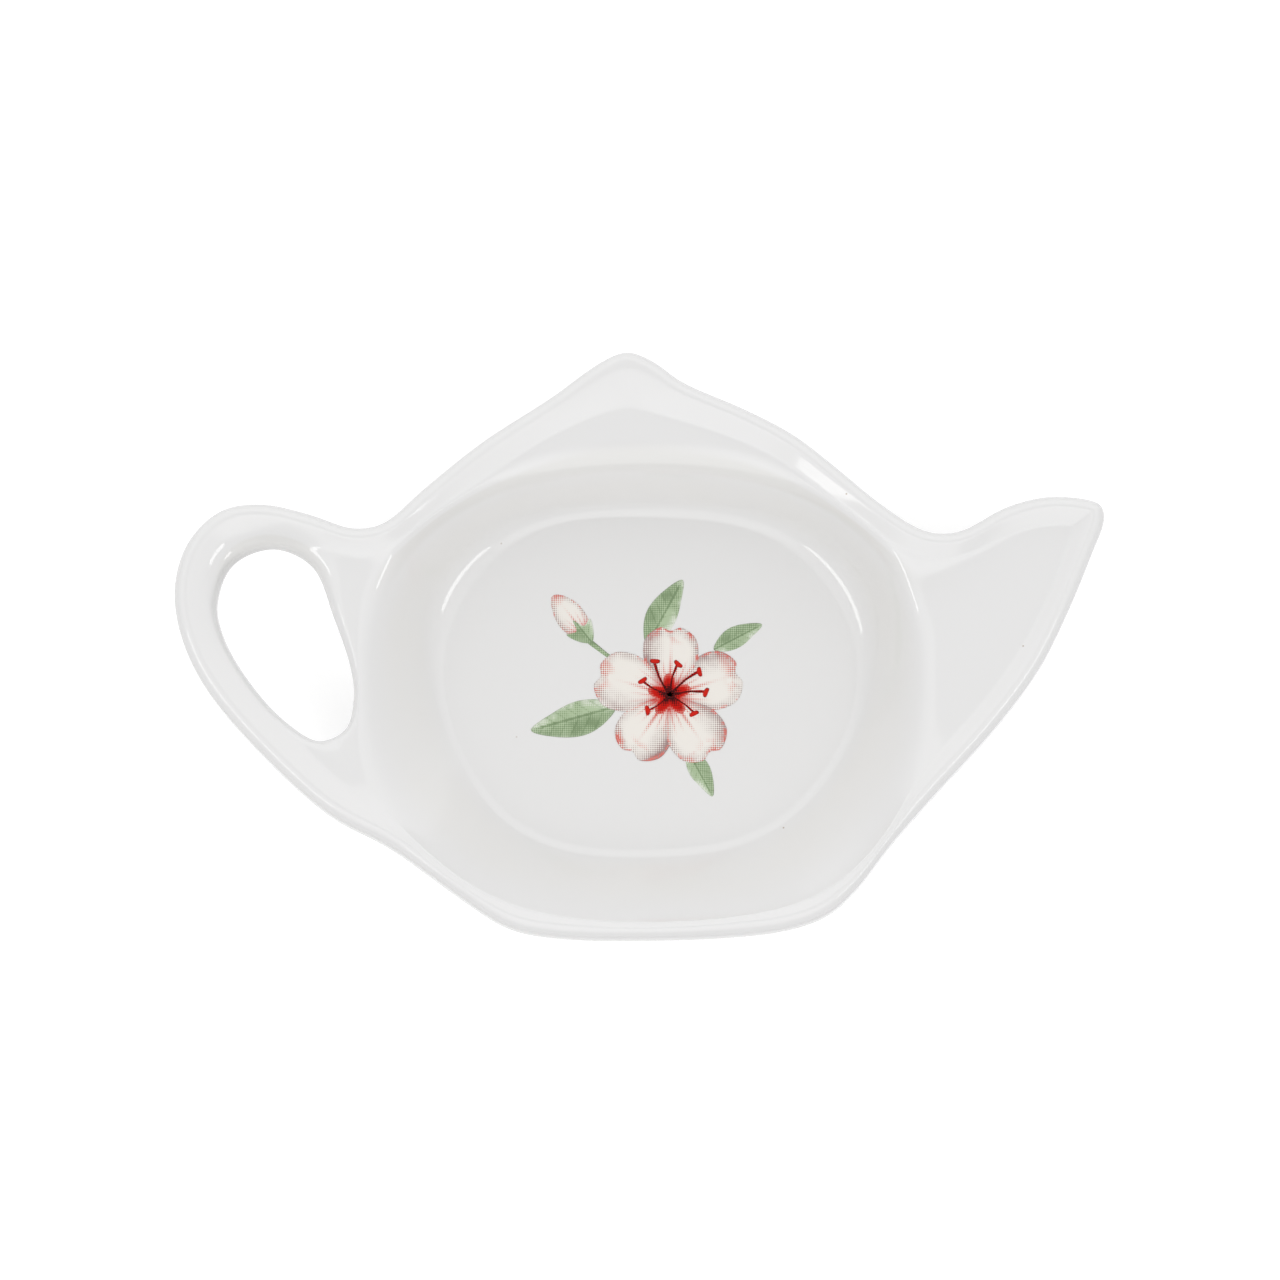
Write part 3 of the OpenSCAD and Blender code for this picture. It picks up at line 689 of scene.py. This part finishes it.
class Paint(Sums):
    """The nodes of one finish. Lengths given to its methods are in millimetres."""

    def __init__(self, name, color, roughness):
        self.material = bpy.data.materials.new(name)
        self.material.use_nodes = True
        super().__init__(self.material.node_tree)
        self.shader = self.nodes["Principled BSDF"]
        self.set(self.shader.inputs["Base Color"], color)
        self.set(self.shader.inputs["Roughness"], roughness)
        self.shader.inputs["IOR"].default_value = GLAZE_IOR
        self.place = self.nodes.new("ShaderNodeTexCoord").outputs["Object"]

    def value(self, name):
        """A number kept at the points of the mesh."""
        node = self.nodes.new("ShaderNodeAttribute")
        node.attribute_name = name
        return node.outputs["Fac"]

    def axes(self):
        """Along the length, across it and up, each as a number in metres."""
        node = self.nodes.new("ShaderNodeSeparateXYZ")
        self.links.new(self.place, node.inputs[0])
        return node.outputs[:3]

    def level(self, axis, low, high, start=0.0, end=1.0):
        """A smooth step of a place on an axis between two places."""
        return self.ramp(axis, low * MM, high * MM, start, end)

    def noise(self, grain, detail=3.0):
        """Soft cloudy noise of 0 to 1, whose clouds are about a grain wide."""
        node = self.nodes.new("ShaderNodeTexNoise")
        self.links.new(self.place, node.inputs["Vector"])
        self.set(node.inputs["Scale"], 1 / (grain * MM))
        self.set(node.inputs["Detail"], detail)
        return node.outputs["Fac"]

    def specks(self, spacing, radius):
        """Small round specks seen from above, one in each cell of a spacing: full within two fifths
        of the radius, and none beyond it."""
        node = self.nodes.new("ShaderNodeTexVoronoi")
        node.voronoi_dimensions = "2D"
        self.links.new(self.place, node.inputs["Vector"])
        self.set(node.inputs["Scale"], 1 / (spacing * MM))
        return self.ramp(node.outputs["Distance"], radius / spacing, 0.4 * radius / spacing)

    def over(self, under, color, density):
        """A colour laid over another, as much as its density says."""
        node = self.nodes.new("ShaderNodeMix")
        node.data_type = "RGBA"
        factor, below, above = (node.inputs[k] for k in (0, 6, 7))
        for socket, value in ((factor, density), (below, under), (above, color)):
            self.set(socket, value)
        return node.outputs[2]

    def bump(self, height, depth):
        """Relief of the surface, as deep as depth from its lowest to its highest."""
        node = self.nodes.new("ShaderNodeBump")
        self.set(node.inputs["Distance"], depth * MM)
        self.links.new(height, node.inputs["Height"])
        self.links.new(node.outputs["Normal"], self.shader.inputs["Normal"])

    def finish(self, color, roughness=None):
        """Send the colour, and the roughness where it varies, to the shader."""
        self.set(self.shader.inputs["Base Color"], color)
        if roughness is not None:
            self.set(self.shader.inputs["Roughness"], roughness)
        print(self.material.name, "made of", len(self.nodes), "nodes")
        return self.material


# %% [markdown]
# ## Dots of a screen
# A screen lays on an ink at one strength only, so a lighter tone is smaller dots of it. A picture of
# the dots would blur from near by. Two cosines across each other put a hill into each cell of the
# screen instead, and a smooth step over tone and hill together turns the hills into dots.

# %% Ink in screened dots
SCREEN_PITCH, DOT_STRENGTH = 0.28, 1.3


class Ink(Paint):
    """A colour of the print, laid on in the dots of its screen."""

    def dots(self, density):
        """The density of an ink broken into dots: two cosines across each other are added to it,
        strongest where it is neither none nor full, and a smooth step sharpens the sum."""
        waves = [self.math("COSINE", self.math("MULTIPLY", axis, 2 * math.pi / (SCREEN_PITCH * MM)))
                 for axis in self.axes()[:2]]
        middle = self.product(density, self.math("SUBTRACT", 1.0, density))
        screened = self.total(density, self.product(middle, self.total(*waves), DOT_STRENGTH))
        return self.ramp(screened, 0.0, 1.0)


print("the screen has", round(25.4 / SCREEN_PITCH), "lines per inch")

# %% [markdown]
# ## Glaze
# Glazed porcelain is a white, slightly warm body under a clear glassy coat. A coat layer over a
# matt body could show it, but a Principled shader with a low roughness gives both at once: the base
# colour is the body, the specular the glaze. The coat isn't dead flat. It swells by a few
# thousandths of a millimetre over a centimetre, and a few iron specks have burnt through. A warm grey
# painted shade darkens the dish below the deck, fullest on the walls of the well, and a cooler
# painted shade darkens the far shoulder where the lid bends over into the well.

# %% The glaze
# The second colour here is a warm grey painted shade for the walls of the well, and the one on the next line
# a cooler painted shade for the far shoulder of the lid.
WHITE, WALL_SHADE, IRON = (0.80, 0.797, 0.795), (0.798, 0.790, 0.775), (0.42, 0.33, 0.25)
SHOULDER_SHADE = (0.762, 0.756, 0.742)
LID_NEAR, LID_FAR, SWELL = 4.0, 14.0, 0.02
SPECK_SPACING, SPECK_RADIUS = 31.0, 0.16
glaze = Paint("glazed_porcelain", WHITE, 0.07)
_, depth, height = glaze.axes()
# Painted shade on the far shoulder, where the lid bends over into the well: a band just below the deck on the
# far side.
below_deck = glaze.product(glaze.level(height, DECK - 0.2, DECK - 0.55),
                           glaze.level(height, DECK - 2.4, DECK - 1.2))
shoulder_shade = glaze.product(below_deck, glaze.level(depth, LID_NEAR, LID_FAR))
# Painted warm shade below the deck: fullest on the walls of the well, a quarter as strong on its floor, and
# made uneven by noise.
on_wall = glaze.product(glaze.level(height, DECK - 0.5, DECK - 5.0),
                        glaze.level(height, FLOOR + 0.1, FLOOR + 2.5, 0.25, 1.0))
wall_shade = glaze.product(on_wall, glaze.ramp(glaze.noise(9.0, 2.0), 0.25, 0.75, 0.6, 1.0))
speck = glaze.product(glaze.specks(SPECK_SPACING, SPECK_RADIUS),
                      glaze.ramp(glaze.noise(3.0), 0.35, 0.65, 0.3, 0.8))
glaze.bump(glaze.total(glaze.noise(6.0, 1.0), glaze.product(glaze.noise(1.6, 2.0), 0.12)), SWELL)
body_color = glaze.over(glaze.over(WHITE, WALL_SHADE, wall_shade), SHOULDER_SHADE, shoulder_shade)
glaze_material = glaze.finish(glaze.over(body_color, IRON, speck),
                              glaze.ramp(glaze.noise(4.0), 0.3, 0.7, 0.055, 0.085))

# %% [markdown]
# ## Bare porcelain
# The foot ring is wiped before firing, so the clay shows: matt, a little warmer than the glaze,
# with a sugary grain, and greyed where it has stood on tables. Grain from real dents would take
# millions of points. Fine noise in bump, colour and roughness together gives the same look.

# %% The bare clay
CLAY, CLAY_SHADE, WORN = (0.76, 0.73, 0.69), (0.70, 0.66, 0.61), (0.56, 0.53, 0.49)
GRAIN, GRAIN_DEPTH, WEAR_HEIGHT = 0.35, 0.05, 0.25
clay = Paint("bare_porcelain", CLAY, 0.75)
grain = clay.noise(GRAIN, 4.0)
wear = clay.product(clay.level(clay.axes()[2], WEAR_HEIGHT, 0.0),
                    clay.ramp(clay.noise(1.2), 0.42, 0.68, 0.1, 0.6))
clay.bump(grain, GRAIN_DEPTH)
grainy = clay.over(CLAY, CLAY_SHADE, clay.ramp(grain, 0.45, 0.75))
clay_material = clay.finish(clay.over(grainy, WORN, wear), clay.ramp(grain, 0.3, 0.7, 0.65, 0.85))

# %% [markdown]
# ## The skin of the dish
# Where handle, lid and spout run together, sections of different make meet, and their small
# differences would catch the light. Melted glaze pulls such places smooth. Subdividing would soften
# everything alike. Here each point has a looseness, high only round the seam and at its two ends,
# and the loose points relax towards their neighbours.

# %% The skin, relaxed where its strips join
JOIN_WIDTH, JOIN_ROWS, HOLE_ROWS, FADE_ROWS, LOOSEST, RELAX_ROUNDS = 10, 14, 4, 3, 0.5, 40


def looseness(rows, at_start, last_loose):
    """How loose each point of a strip is: in the first row as at_start says, then growing to the
    loosest over the fading rows, and down to 0 over as many rows before last_loose."""
    row = np.arange(rows)[:, None]
    start = np.clip(row / FADE_ROWS, 0, 1)
    end = np.clip((last_loose - row) / FADE_ROWS, 0, 1)
    return ((at_start + (1 - at_start) * start) * end * LOOSEST).reshape(-1)


column = np.arange(len(edge))
near_join = sum(np.exp(-((column - at) / JOIN_WIDTH) ** 2) for at in (first, last))
well_join = np.r_[near_join[body], np.ones(SEAM_STEPS - 1)]
hole_join = np.r_[near_join[handle], np.ones(SEAM_STEPS - 1)]
column = np.arange(len(hole_loop))
from_join = np.minimum(np.minimum(column, np.abs(column - len(handle) + 1)), len(hole_loop) - column)
hole_near = np.tile(np.exp(-(from_join / JOIN_WIDTH) ** 2), len(hole))
loose = np.concatenate([
    looseness(len(outer), near_join, LIP_STEPS - FADE_ROWS) * np.tile(near_join, len(outer)),
    looseness(len(well), well_join, DECK_STEPS + CORNER_STEPS),
    np.maximum(looseness(len(hole), hole_join, HOLE_ROWS),
               looseness(len(hole), hole_join, JOIN_ROWS) * hole_near),
    looseness(len(belly), np.ones(belly.shape[1]), FADE_ROWS)])
dish = make_piece("dish_skin", [outer, well, hole, belly], glaze_material,
                  loose, RELAX_ROUNDS)
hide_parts("porcelain_dish")

# %% [markdown]
# ## The bare foot ring
# The last half millimetre of the foot ring is bare clay with two rounded corners. It could be the
# same mesh with a second material, but the line between glaze and clay would then follow the faces.
# As a ring of its own it laps a little into the glazed one, and the line stays crisp.

# %% The bare foot ring, a closed section carried round the edge of the floor
FOOT_TOUCH, BARE_LAP, TOUCH_STEPS = 0.4, 0.05, 6
turn = np.linspace(0, np.pi / 2, TOUCH_STEPS)
corner = FOOT_TOUCH * (1 - np.stack([np.sin(turn), np.cos(turn)], 1))
bare_top = BARE_HEIGHT + BARE_LAP
section = np.vstack([[ring_out, bare_top], corner[::-1] + [ring_out, 0],
                     corner * [-1, 1] + [ring_in, 0], [ring_in, bare_top], [ring_out, bare_top]])
ring_grid = np.stack([foot_loop(inset, z) for inset, z in section])
make_piece("bare_foot_ring", [ring_grid], clay_material)

# %% [markdown]
# ## The printed flower
# Such a flower is a transfer: dots of glaze colour printed on paper by one screen per colour, slid
# onto the fired glaze and fired again. It could be painted into the glaze's own nodes, but the
# films of the solids are pieces, so it is made of pieces too. Each petal, leaf and stamen is a thin
# closed patch a few hundredths of a millimetre high. Its points keep where they are on it, along,
# across and towards the rim, and the material paints by these numbers.

# %% Patches of print, in millimetres and in shares of the spray
SPRAY, PATCH_STEPS, PATCH_ROWS = 29.0, 10, 12
SUNK, LEAF_LEVEL, PETAL_LEVEL, STAMEN_LEVEL, LEVEL_STEP = 0.03, 0.03, 0.05, 0.08, 0.004


def patch(outline, centre, size, place, turn, level, number):
    """A closed flat patch: each point is the centre plus a share of the way to a smooth outline. The
    shares grow from 0 to 1 on top and go back to 0 below, so it is a thin solid. Its points are
    then made as large as size, turned, and moved to a place of the spray."""
    loop = smooth_loop(outline, PATCH_STEPS)
    share = np.linspace(0, 1, PATCH_ROWS)
    share = np.r_[share, share[::-1]][:, None, None]
    local = centre + (loop - centre) * share
    c, k = math.cos(math.radians(turn)), math.sin(math.radians(turn))
    plan = floor_centre + SPRAY * np.asarray(place) + size * local @ np.array([[c, k], [-k, c]])
    on_top = np.arange(len(share)) < PATCH_ROWS
    z = np.where(on_top, FLOOR + level, FLOOR - SUNK)[:, None] + np.zeros(len(loop))
    to_rim = np.broadcast_to(share[..., 0], z.shape)
    return at_height(plan, z), (local[..., 0], local[..., 1], to_rim, np.full(z.shape, float(number)))


def print_piece(name, patches, material):
    """One piece from patches, with along, across, rim and number kept at its points."""
    grids, kept = zip(*patches)
    values = {key: np.concatenate([row[k].reshape(-1) for row in kept])
              for k, key in enumerate(("along", "across", "rim", "number"))}
    return make_piece(name, grids, material, values=values)


print("spray", SPRAY, "mm across, in layers", LEVEL_STEP, "mm apart")

# %% [markdown]
# ## Petals
# On such prints the petals are cream with a light middle, a blush from the heart outwards, a dark
# side and an uneven red rim, each in dots of its own colour. A picture of a petal would do it, but
# a recipe stays sharp at any size. Each ink below is put together from a few smooth steps over the
# places kept at the points, made uneven by noise.

# %% The ink of the petals
CREAM, SHADE = (0.86, 0.825, 0.775), (0.36, 0.25, 0.24)
ROSE, CRIMSON = (0.66, 0.15, 0.12), (0.55, 0.012, 0.008)
INK_ROUGHNESS = 0.09
FAN_WAVES, FAN_ROOT, TONE_STEP = 34.0, 0.12, 2.4
petal = Ink("petal_transfer", CREAM, INK_ROUGHNESS)
along, across, rim, number = (petal.value(name) for name in ("along", "across", "rim", "number"))
cloud, fine_cloud = petal.noise(2.4), petal.noise(0.9, 2.0)
side = petal.math("ABSOLUTE", across)
fan = petal.math("DIVIDE", across, petal.total(along, FAN_ROOT))
streak = petal.ramp(petal.math("COSINE", petal.product(fan, FAN_WAVES)), 0.1, 1.0)
strength = petal.ramp(petal.math("SINE", petal.product(number, TONE_STEP)), -1.0, 1.0, 0.7, 1.15)
base = petal.product(petal.ramp(along, 0.62, 0.08), petal.ramp(streak, 0.0, 1.0, 0.35, 1.0), 0.8)
rib = petal.product(petal.ramp(side, 0.045, 0.0), petal.ramp(along, 0.92, 0.25), 0.4)
tip = petal.product(petal.ramp(along, 0.70, 1.0), petal.ramp(cloud, 0.42, 0.62), 0.75)
red_rim = petal.product(petal.ramp(rim, 0.86, 0.97), petal.ramp(fine_cloud, 0.5, 0.62), 0.8)
blush = petal.dots(petal.product(petal.full(base, rib, tip, red_rim), strength))
near_rim = petal.product(petal.ramp(rim, 0.60, 1.0), petal.ramp(cloud, 0.30, 0.62, 0.3, 1.0), 0.62)
dark_side = petal.product(petal.ramp(across, 0.02, 0.30), petal.ramp(along, 0.05, 0.35),
                          petal.ramp(fine_cloud, 0.2, 0.8, 0.5, 1.0), 0.42)
shade = petal.dots(petal.product(petal.full(near_rim, dark_side), strength))
heart = petal.ramp(along, 0.32, 0.08)
color = petal.over(petal.over(petal.over(CREAM, SHADE, shade), ROSE, blush), CRIMSON, heart)
petal_material = petal.finish(color)

# %% The petals, each a little higher than the last so that no two lie in one plane, and the bud
PETAL, BUD, FLOWER = 9.6, 7.0, np.array([0.08, -0.07])
PETAL_TURNS, PETAL_CENTRE = [(18, 1.0), (88, 0.94), (163, 1.02), (236, 0.97), (304, 1.0)], (0.55, 0)
PETAL_OUTLINE = np.array([[0.04, 0.02], [0.22, 0.19], [0.5, 0.38], [0.82, 0.38], [1, 0.16], [0.95, 0.02],
                          [1, -0.13], [0.85, -0.35], [0.52, -0.38], [0.2, -0.18]])
BUD_PLACE, BUD_TURN, BUD_CENTRE = np.array([-0.29, 0.20]), 128, (0.5, 0.02)
BUD_OUTLINE = np.array([[0, 0], [0.22, 0.24], [0.6, 0.27], [1, 0.06], [0.97, -0.06],
                        [0.62, -0.24], [0.2, -0.2]])
petals = [patch(PETAL_OUTLINE, PETAL_CENTRE, PETAL * size, FLOWER, turn, PETAL_LEVEL + k * LEVEL_STEP, k)
          for k, (turn, size) in enumerate(PETAL_TURNS)]
bud = patch(BUD_OUTLINE, BUD_CENTRE, BUD, BUD_PLACE, BUD_TURN, PETAL_LEVEL, len(PETAL_TURNS))
petal_piece = print_piece("printed_petals", [*petals, bud], petal_material)
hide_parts("petal_print", "petal_blush_print")

# %% [markdown]
# ## Leaves
# The leaves are sage green, washed out to a pale side, darker along the midrib, the side veins and
# the other half. The veins could be patches too, as the solids have them. As waves over the places
# along and across a leaf they taper and fade as printed ones do.

# %% The ink of the leaves
SAGE, MOSS, MIST = (0.45, 0.56, 0.365), (0.215, 0.30, 0.165), (0.70, 0.74, 0.64)
VEIN_WAVES, VEIN_SLANT = 44.0, -38.0
leaf = Ink("leaf_transfer", SAGE, INK_ROUGHNESS)
along, across, rim = (leaf.value(name) for name in ("along", "across", "rim"))
cloud = leaf.noise(2.6)
side = leaf.math("ABSOLUTE", across)
midrib = leaf.product(leaf.ramp(side, 0.024, 0.004), leaf.ramp(along, 1.0, 0.85), 0.65)
side_wave = leaf.math("COSINE", leaf.total(leaf.product(along, VEIN_WAVES), leaf.product(side, VEIN_SLANT)))
side_vein = leaf.product(leaf.ramp(side_wave, 0.70, 1.0), 0.2)
half = leaf.ramp(across, -0.02, 0.06, 0.0, 0.42)
dark = leaf.dots(leaf.full(midrib, side_vein, half, leaf.ramp(cloud, 0.35, 0.75, 0.0, 0.5)))
pale = leaf.dots(leaf.product(leaf.ramp(rim, 0.45, 1.0), leaf.ramp(cloud, 0.62, 0.38),
                              leaf.ramp(across, 0.08, -0.12, 0.3, 1.0)))
leaf_material = leaf.finish(leaf.over(leaf.over(SAGE, MIST, pale), MOSS, dark))

# %% The leaves, the stem of the bud and the cup that holds it
LEAF, LEAF_CENTRE = 11.5, (0.45, 0.02)
LEAF_PLACES = [(-0.16, -0.12, 196, 1.0), (-0.02, 0.16, 62, 0.86), (0.28, 0.14, 28, 0.62),
               (0.16, -0.32, -62, 0.6)]
LEAF_OUTLINE = np.array([[0, 0], [0.14, 0.13], [0.4, 0.22], [0.7, 0.17], [1, 0], [0.72, -0.12],
                         [0.42, -0.18], [0.15, -0.12]])
STEM_SHARE, STEM_TURN, STEM_CENTRE = 0.36, 146, (0.5, 0.04)
STEM_OUTLINE = np.array([[0, 0.02], [0.3, 0.06], [0.7, 0.07], [1, 0.035],
                         [1, -0.005], [0.7, 0.02], [0.3, 0.012], [0, -0.02]])
CUP_CENTRE = (0.08, 0)
CUP_OUTLINE = np.array([[-0.14, 0], [0, 0.17], [0.26, 0.28], [0.2, 0.1],
                        [0.4, 0.02], [0.2, -0.08], [0.24, -0.25], [0, -0.15]])
leaves = [patch(LEAF_OUTLINE, LEAF_CENTRE, LEAF * size, (x, y), turn, LEAF_LEVEL, k)
          for k, (x, y, turn, size) in enumerate(LEAF_PLACES)]
stem_level, cup_level = LEAF_LEVEL - LEVEL_STEP, PETAL_LEVEL + LEVEL_STEP
stem = patch(STEM_OUTLINE, STEM_CENTRE, SPRAY * STEM_SHARE, (0, 0), STEM_TURN, stem_level, len(leaves))
cup = patch(CUP_OUTLINE, CUP_CENTRE, BUD, BUD_PLACE, BUD_TURN, cup_level, len(leaves) + 1)
leaf_piece = print_piece("printed_leaves", [*leaves, stem, cup], leaf_material)
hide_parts("leaf_print", "leaf_vein_print")

# %% [markdown]
# ## The throat
# The heart of the flower is a crimson star with a nearly black middle and a soft rim. Five waves
# round a circle draw the star, which says its five arms more plainly than a table of points.

# %% The throat: a crimson star
MAROON = (0.045, 0.006, 0.007)
THROAT, STAR_ARMS, ARM_SHARE, STAR_STEP, STAR_TURN = 2.3, 5, 0.28, 9, 20
throat = Ink("throat_transfer", CRIMSON, INK_ROUGHNESS)
rim = throat.value("rim")
core = throat.dots(throat.full(throat.ramp(rim, 0.75, 0.15),
                               throat.ramp(throat.noise(1.1), 0.5, 0.8, 0.0, 0.35)))
soft = throat.dots(throat.ramp(rim, 0.70, 1.0, 0.0, 0.75))
throat_material = throat.finish(throat.over(throat.over(CRIMSON, ROSE, soft), MAROON, core))
angles = np.radians(np.arange(0, 360, STAR_STEP))
reach = 1 + ARM_SHARE * np.cos(STAR_ARMS * angles)
star = patch(np.stack([reach * np.cos(angles), reach * np.sin(angles)], -1), (0, 0), THROAT, FLOWER,
             STAR_TURN, STAMEN_LEVEL, 0)
throat_piece = print_piece("printed_throat", [star], throat_material)
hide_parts("throat_print")

# %% [markdown]
# ## Filaments and anthers
# The stamens are dark threads, lighter towards their ends, with a red anther across each. Straight
# strokes would look ruled, so each thread is a thin bent patch, and the same list of turns and
# lengths places the thread and what it carries.

# %% The filaments
FILAMENT, FILAMENT_CENTRE = 5.0, (0.5, 0.06)
FILAMENT_TURNS = [(-38, 0.8), (4, 0.95), (38, 1.0), (74, 0.86), (112, 0.98), (150, 0.8), (214, 0.7)]
FILAMENT_OUTLINE = np.array([[0, 0.03], [0.35, 0.075], [0.7, 0.095], [1, 0.055],
                             [1, 0.005], [0.7, 0.045], [0.35, 0.025], [0, -0.03]])
thread = Ink("filament_transfer", MAROON, INK_ROUGHNESS)
to_end = thread.dots(thread.ramp(thread.value("along"), 0.2, 1.0, 0.1, 0.55))
thread_material = thread.finish(thread.over(MAROON, CRIMSON, to_end))
filament_level = STAMEN_LEVEL + LEVEL_STEP
filaments = [patch(FILAMENT_OUTLINE, FILAMENT_CENTRE, FILAMENT * size, FLOWER, turn, filament_level, k)
             for k, (turn, size) in enumerate(FILAMENT_TURNS)]
filament_piece = print_piece("printed_filaments", filaments, thread_material)
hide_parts("filament_print")

# %% The anthers, each at the end of its filament
ANTHER, ANTHER_TURN, ANTHER_RED = 1.3, 62, (0.60, 0.020, 0.012)
ANTHER_OUTLINE = np.array([[-0.45, 0.08], [0, 0.28], [0.5, 0.14], [0.52, -0.12], [0, -0.2], [-0.42, -0.16]])
pollen = Ink("anther_transfer", ANTHER_RED, INK_ROUGHNESS)
at_rim = pollen.dots(pollen.ramp(pollen.value("rim"), 0.6, 1.0, 0.05, 0.5))
pollen_material = pollen.finish(pollen.over(ANTHER_RED, MAROON, at_rim))
anther_level = STAMEN_LEVEL + 2 * LEVEL_STEP
anthers = []
for k, (turn, size) in enumerate(FILAMENT_TURNS):
    a = math.radians(turn)
    end = FLOWER + FILAMENT * size / SPRAY * np.array([math.cos(a), math.sin(a)])
    anthers.append(patch(ANTHER_OUTLINE, (0, 0), ANTHER, end, turn + ANTHER_TURN, anther_level, k))
anther_piece = print_piece("printed_anthers", anthers, pollen_material)
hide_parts("anther_print")

# %% [markdown]
# ## The camera
# The photograph looks down, twelve degrees off the vertical, so all of the outline shows. A short
# lens close by would make the near edge large. A long one at 690 mm keeps the proportions of the
# picture, and the width that it takes in at the crest sets its focal length.

# %% Camera
VIEW_DISTANCE, VIEW_TILT, FRAME_SIZE, SENSOR = 0.690, math.radians(12), 0.16436, 36.0
camera_data = bpy.data.cameras.new("camera")
camera_data.sensor_width = SENSOR
camera_data.lens = SENSOR * VIEW_DISTANCE / FRAME_SIZE
camera = bpy.data.objects.new("camera", camera_data)
camera.location = (0, -VIEW_DISTANCE * math.sin(VIEW_TILT), CREST * MM + VIEW_DISTANCE * math.cos(VIEW_TILT))
camera.rotation_euler = (VIEW_TILT, 0, 0)
bpy.context.scene.collection.objects.link(camera)
bpy.context.scene.camera = camera
print("lens", round(camera_data.lens), "mm")

# %% [markdown]
# ## Two soft boxes
# The streaks on a glazed dish are its lamps, mirrored in the round parts. Two long narrow soft
# boxes, left and right, give the short streaks in the well. Point lamps would give dots.

# %% Soft boxes
LAMP_DISTANCE, LAMP_HEIGHT = 0.9, 0.14


def softbox(name, azimuth, elevation, width, radiance):
    """A long flat lamp that faces the dish from an azimuth and an elevation in degrees. Its power
    is the radiance times its area times pi, as of an evenly glowing sheet."""
    lamp = bpy.data.lights.new(name, "AREA")
    lamp.shape = "RECTANGLE"
    lamp.size, lamp.size_y = width, LAMP_HEIGHT
    lamp.energy = radiance * width * LAMP_HEIGHT * math.pi
    box = bpy.data.objects.new(name, lamp)
    a, e = math.radians(azimuth), math.radians(elevation)
    way = np.array([math.cos(e) * math.cos(a), math.cos(e) * math.sin(a), math.sin(e)])
    box.location = LAMP_DISTANCE * way
    box.rotation_euler = (math.radians(90 - elevation), 0, a + math.radians(90))
    bpy.context.scene.collection.objects.link(box)
    print(name, round(lamp.energy, 2), "W")


softbox("left_softbox", azimuth=200, elevation=48, width=0.50, radiance=3.6)
softbox("right_softbox", azimuth=-22, elevation=46, width=0.38, radiance=3.8)

# %% [markdown]
# ## The light tent
# Shiny things are photographed in a tent of white cloth, because they mirror all that stands round
# them. The world is that tent: even all round, brighter at the back, with a soft panel high up in
# front and a dark gap nearly overhead, where the flat parts of the dish mirror it to the camera.
# Cloth could be built and lit, but it would throw shadows and noise. Here each part is a smooth step
# of the angle between the way a ray goes and an axis. To the camera itself the tent is never darker
# than white, so the floor shows no far edge.

# %% The light tent
TENT_LIGHT, BACK_LIGHT, PANEL_LIGHT, GAP_LIGHT = 0.715, 0.60, 0.84, -0.66
BACK_ANGLES, PANEL_ANGLES, GAP_ANGLES = (75, 25), (32, 20), (16, 12)
PANEL_TURN = math.radians(122)
world = bpy.data.worlds.new("light_tent")
bpy.context.scene.world = world
world.use_nodes = True
tent = Sums(world.node_tree)
cloth = tent.nodes["Background"].inputs
cloth["Color"].default_value = (1, 1, 1, 1)
direction = tent.nodes.new("ShaderNodeTexCoord").outputs["Generated"]


def cloth_part(axis, angles, strengths):
    """A strength that changes smoothly with the angle between the direction and an axis: a smooth
    step of their dot product between the cosines of two angles."""
    dot = tent.nodes.new("ShaderNodeVectorMath")
    dot.operation = "DOT_PRODUCT"
    dot.inputs[1].default_value = axis
    tent.links.new(direction, dot.inputs[0])
    return tent.ramp(dot.outputs["Value"], *(math.cos(math.radians(angle)) for angle in angles), *strengths)


back = cloth_part((0, 1, 0), BACK_ANGLES, (TENT_LIGHT, TENT_LIGHT + BACK_LIGHT))
panel = cloth_part((0, math.cos(PANEL_TURN), math.sin(PANEL_TURN)), PANEL_ANGLES, (0, PANEL_LIGHT))
gap = cloth_part((0, math.sin(VIEW_TILT), math.cos(VIEW_TILT)), GAP_ANGLES, (0, GAP_LIGHT))
seen = tent.nodes.new("ShaderNodeLightPath").outputs["Is Camera Ray"]
tent.set(cloth["Strength"], tent.math("MAXIMUM", tent.total(back, panel, gap), seen))
print("tent of", len(tent.nodes), "nodes")

# %% [markdown]
# ## The floor
# The dish stands on white paper without end, and only its shadow shows. White paint alone would
# turn grey in this light, and more light would burn out the dish. So the floor glows a little for
# rays that end in the camera, straight, off a mirror or through glass, and keeps the shadow.

# %% The floor
FLOOR_SIZE, FLOOR_GREY, FLOOR_GLOW = 6.0, 0.52, 0.66
floor_mesh = bpy.data.meshes.new("floor")
far = FLOOR_SIZE / 2
floor_mesh.from_pydata([(-far, -far, 0), (far, -far, 0), (far, far, 0), (-far, far, 0)], [], [(0, 1, 2, 3)])
floor_plane = bpy.data.objects.new("floor", floor_mesh)
bpy.context.scene.collection.objects.link(floor_plane)
floor_material = bpy.data.materials.new("white_floor")
floor_material.use_nodes = True
floor_mesh.materials.append(floor_material)
paper = Sums(floor_material.node_tree)
sheet = paper.nodes["Principled BSDF"].inputs
rays = paper.nodes.new("ShaderNodeLightPath").outputs
kinds = ("Is Camera Ray", "Is Glossy Ray", "Is Transmission Ray")
seen = paper.chain("MAXIMUM", *(rays[kind] for kind in kinds))
sheet["Base Color"].default_value = (FLOOR_GREY, FLOOR_GREY, FLOOR_GREY, 1)
sheet["Roughness"].default_value = 1
sheet["Specular IOR Level"].default_value = 0
sheet["Emission Color"].default_value = (1, 1, 1, 1)
paper.set(sheet["Emission Strength"], paper.product(seen, FLOOR_GLOW))
print("floor", FLOOR_SIZE, "m wide")

# %% The plain colour view, and the end
bpy.context.scene.view_settings.view_transform = "Standard"
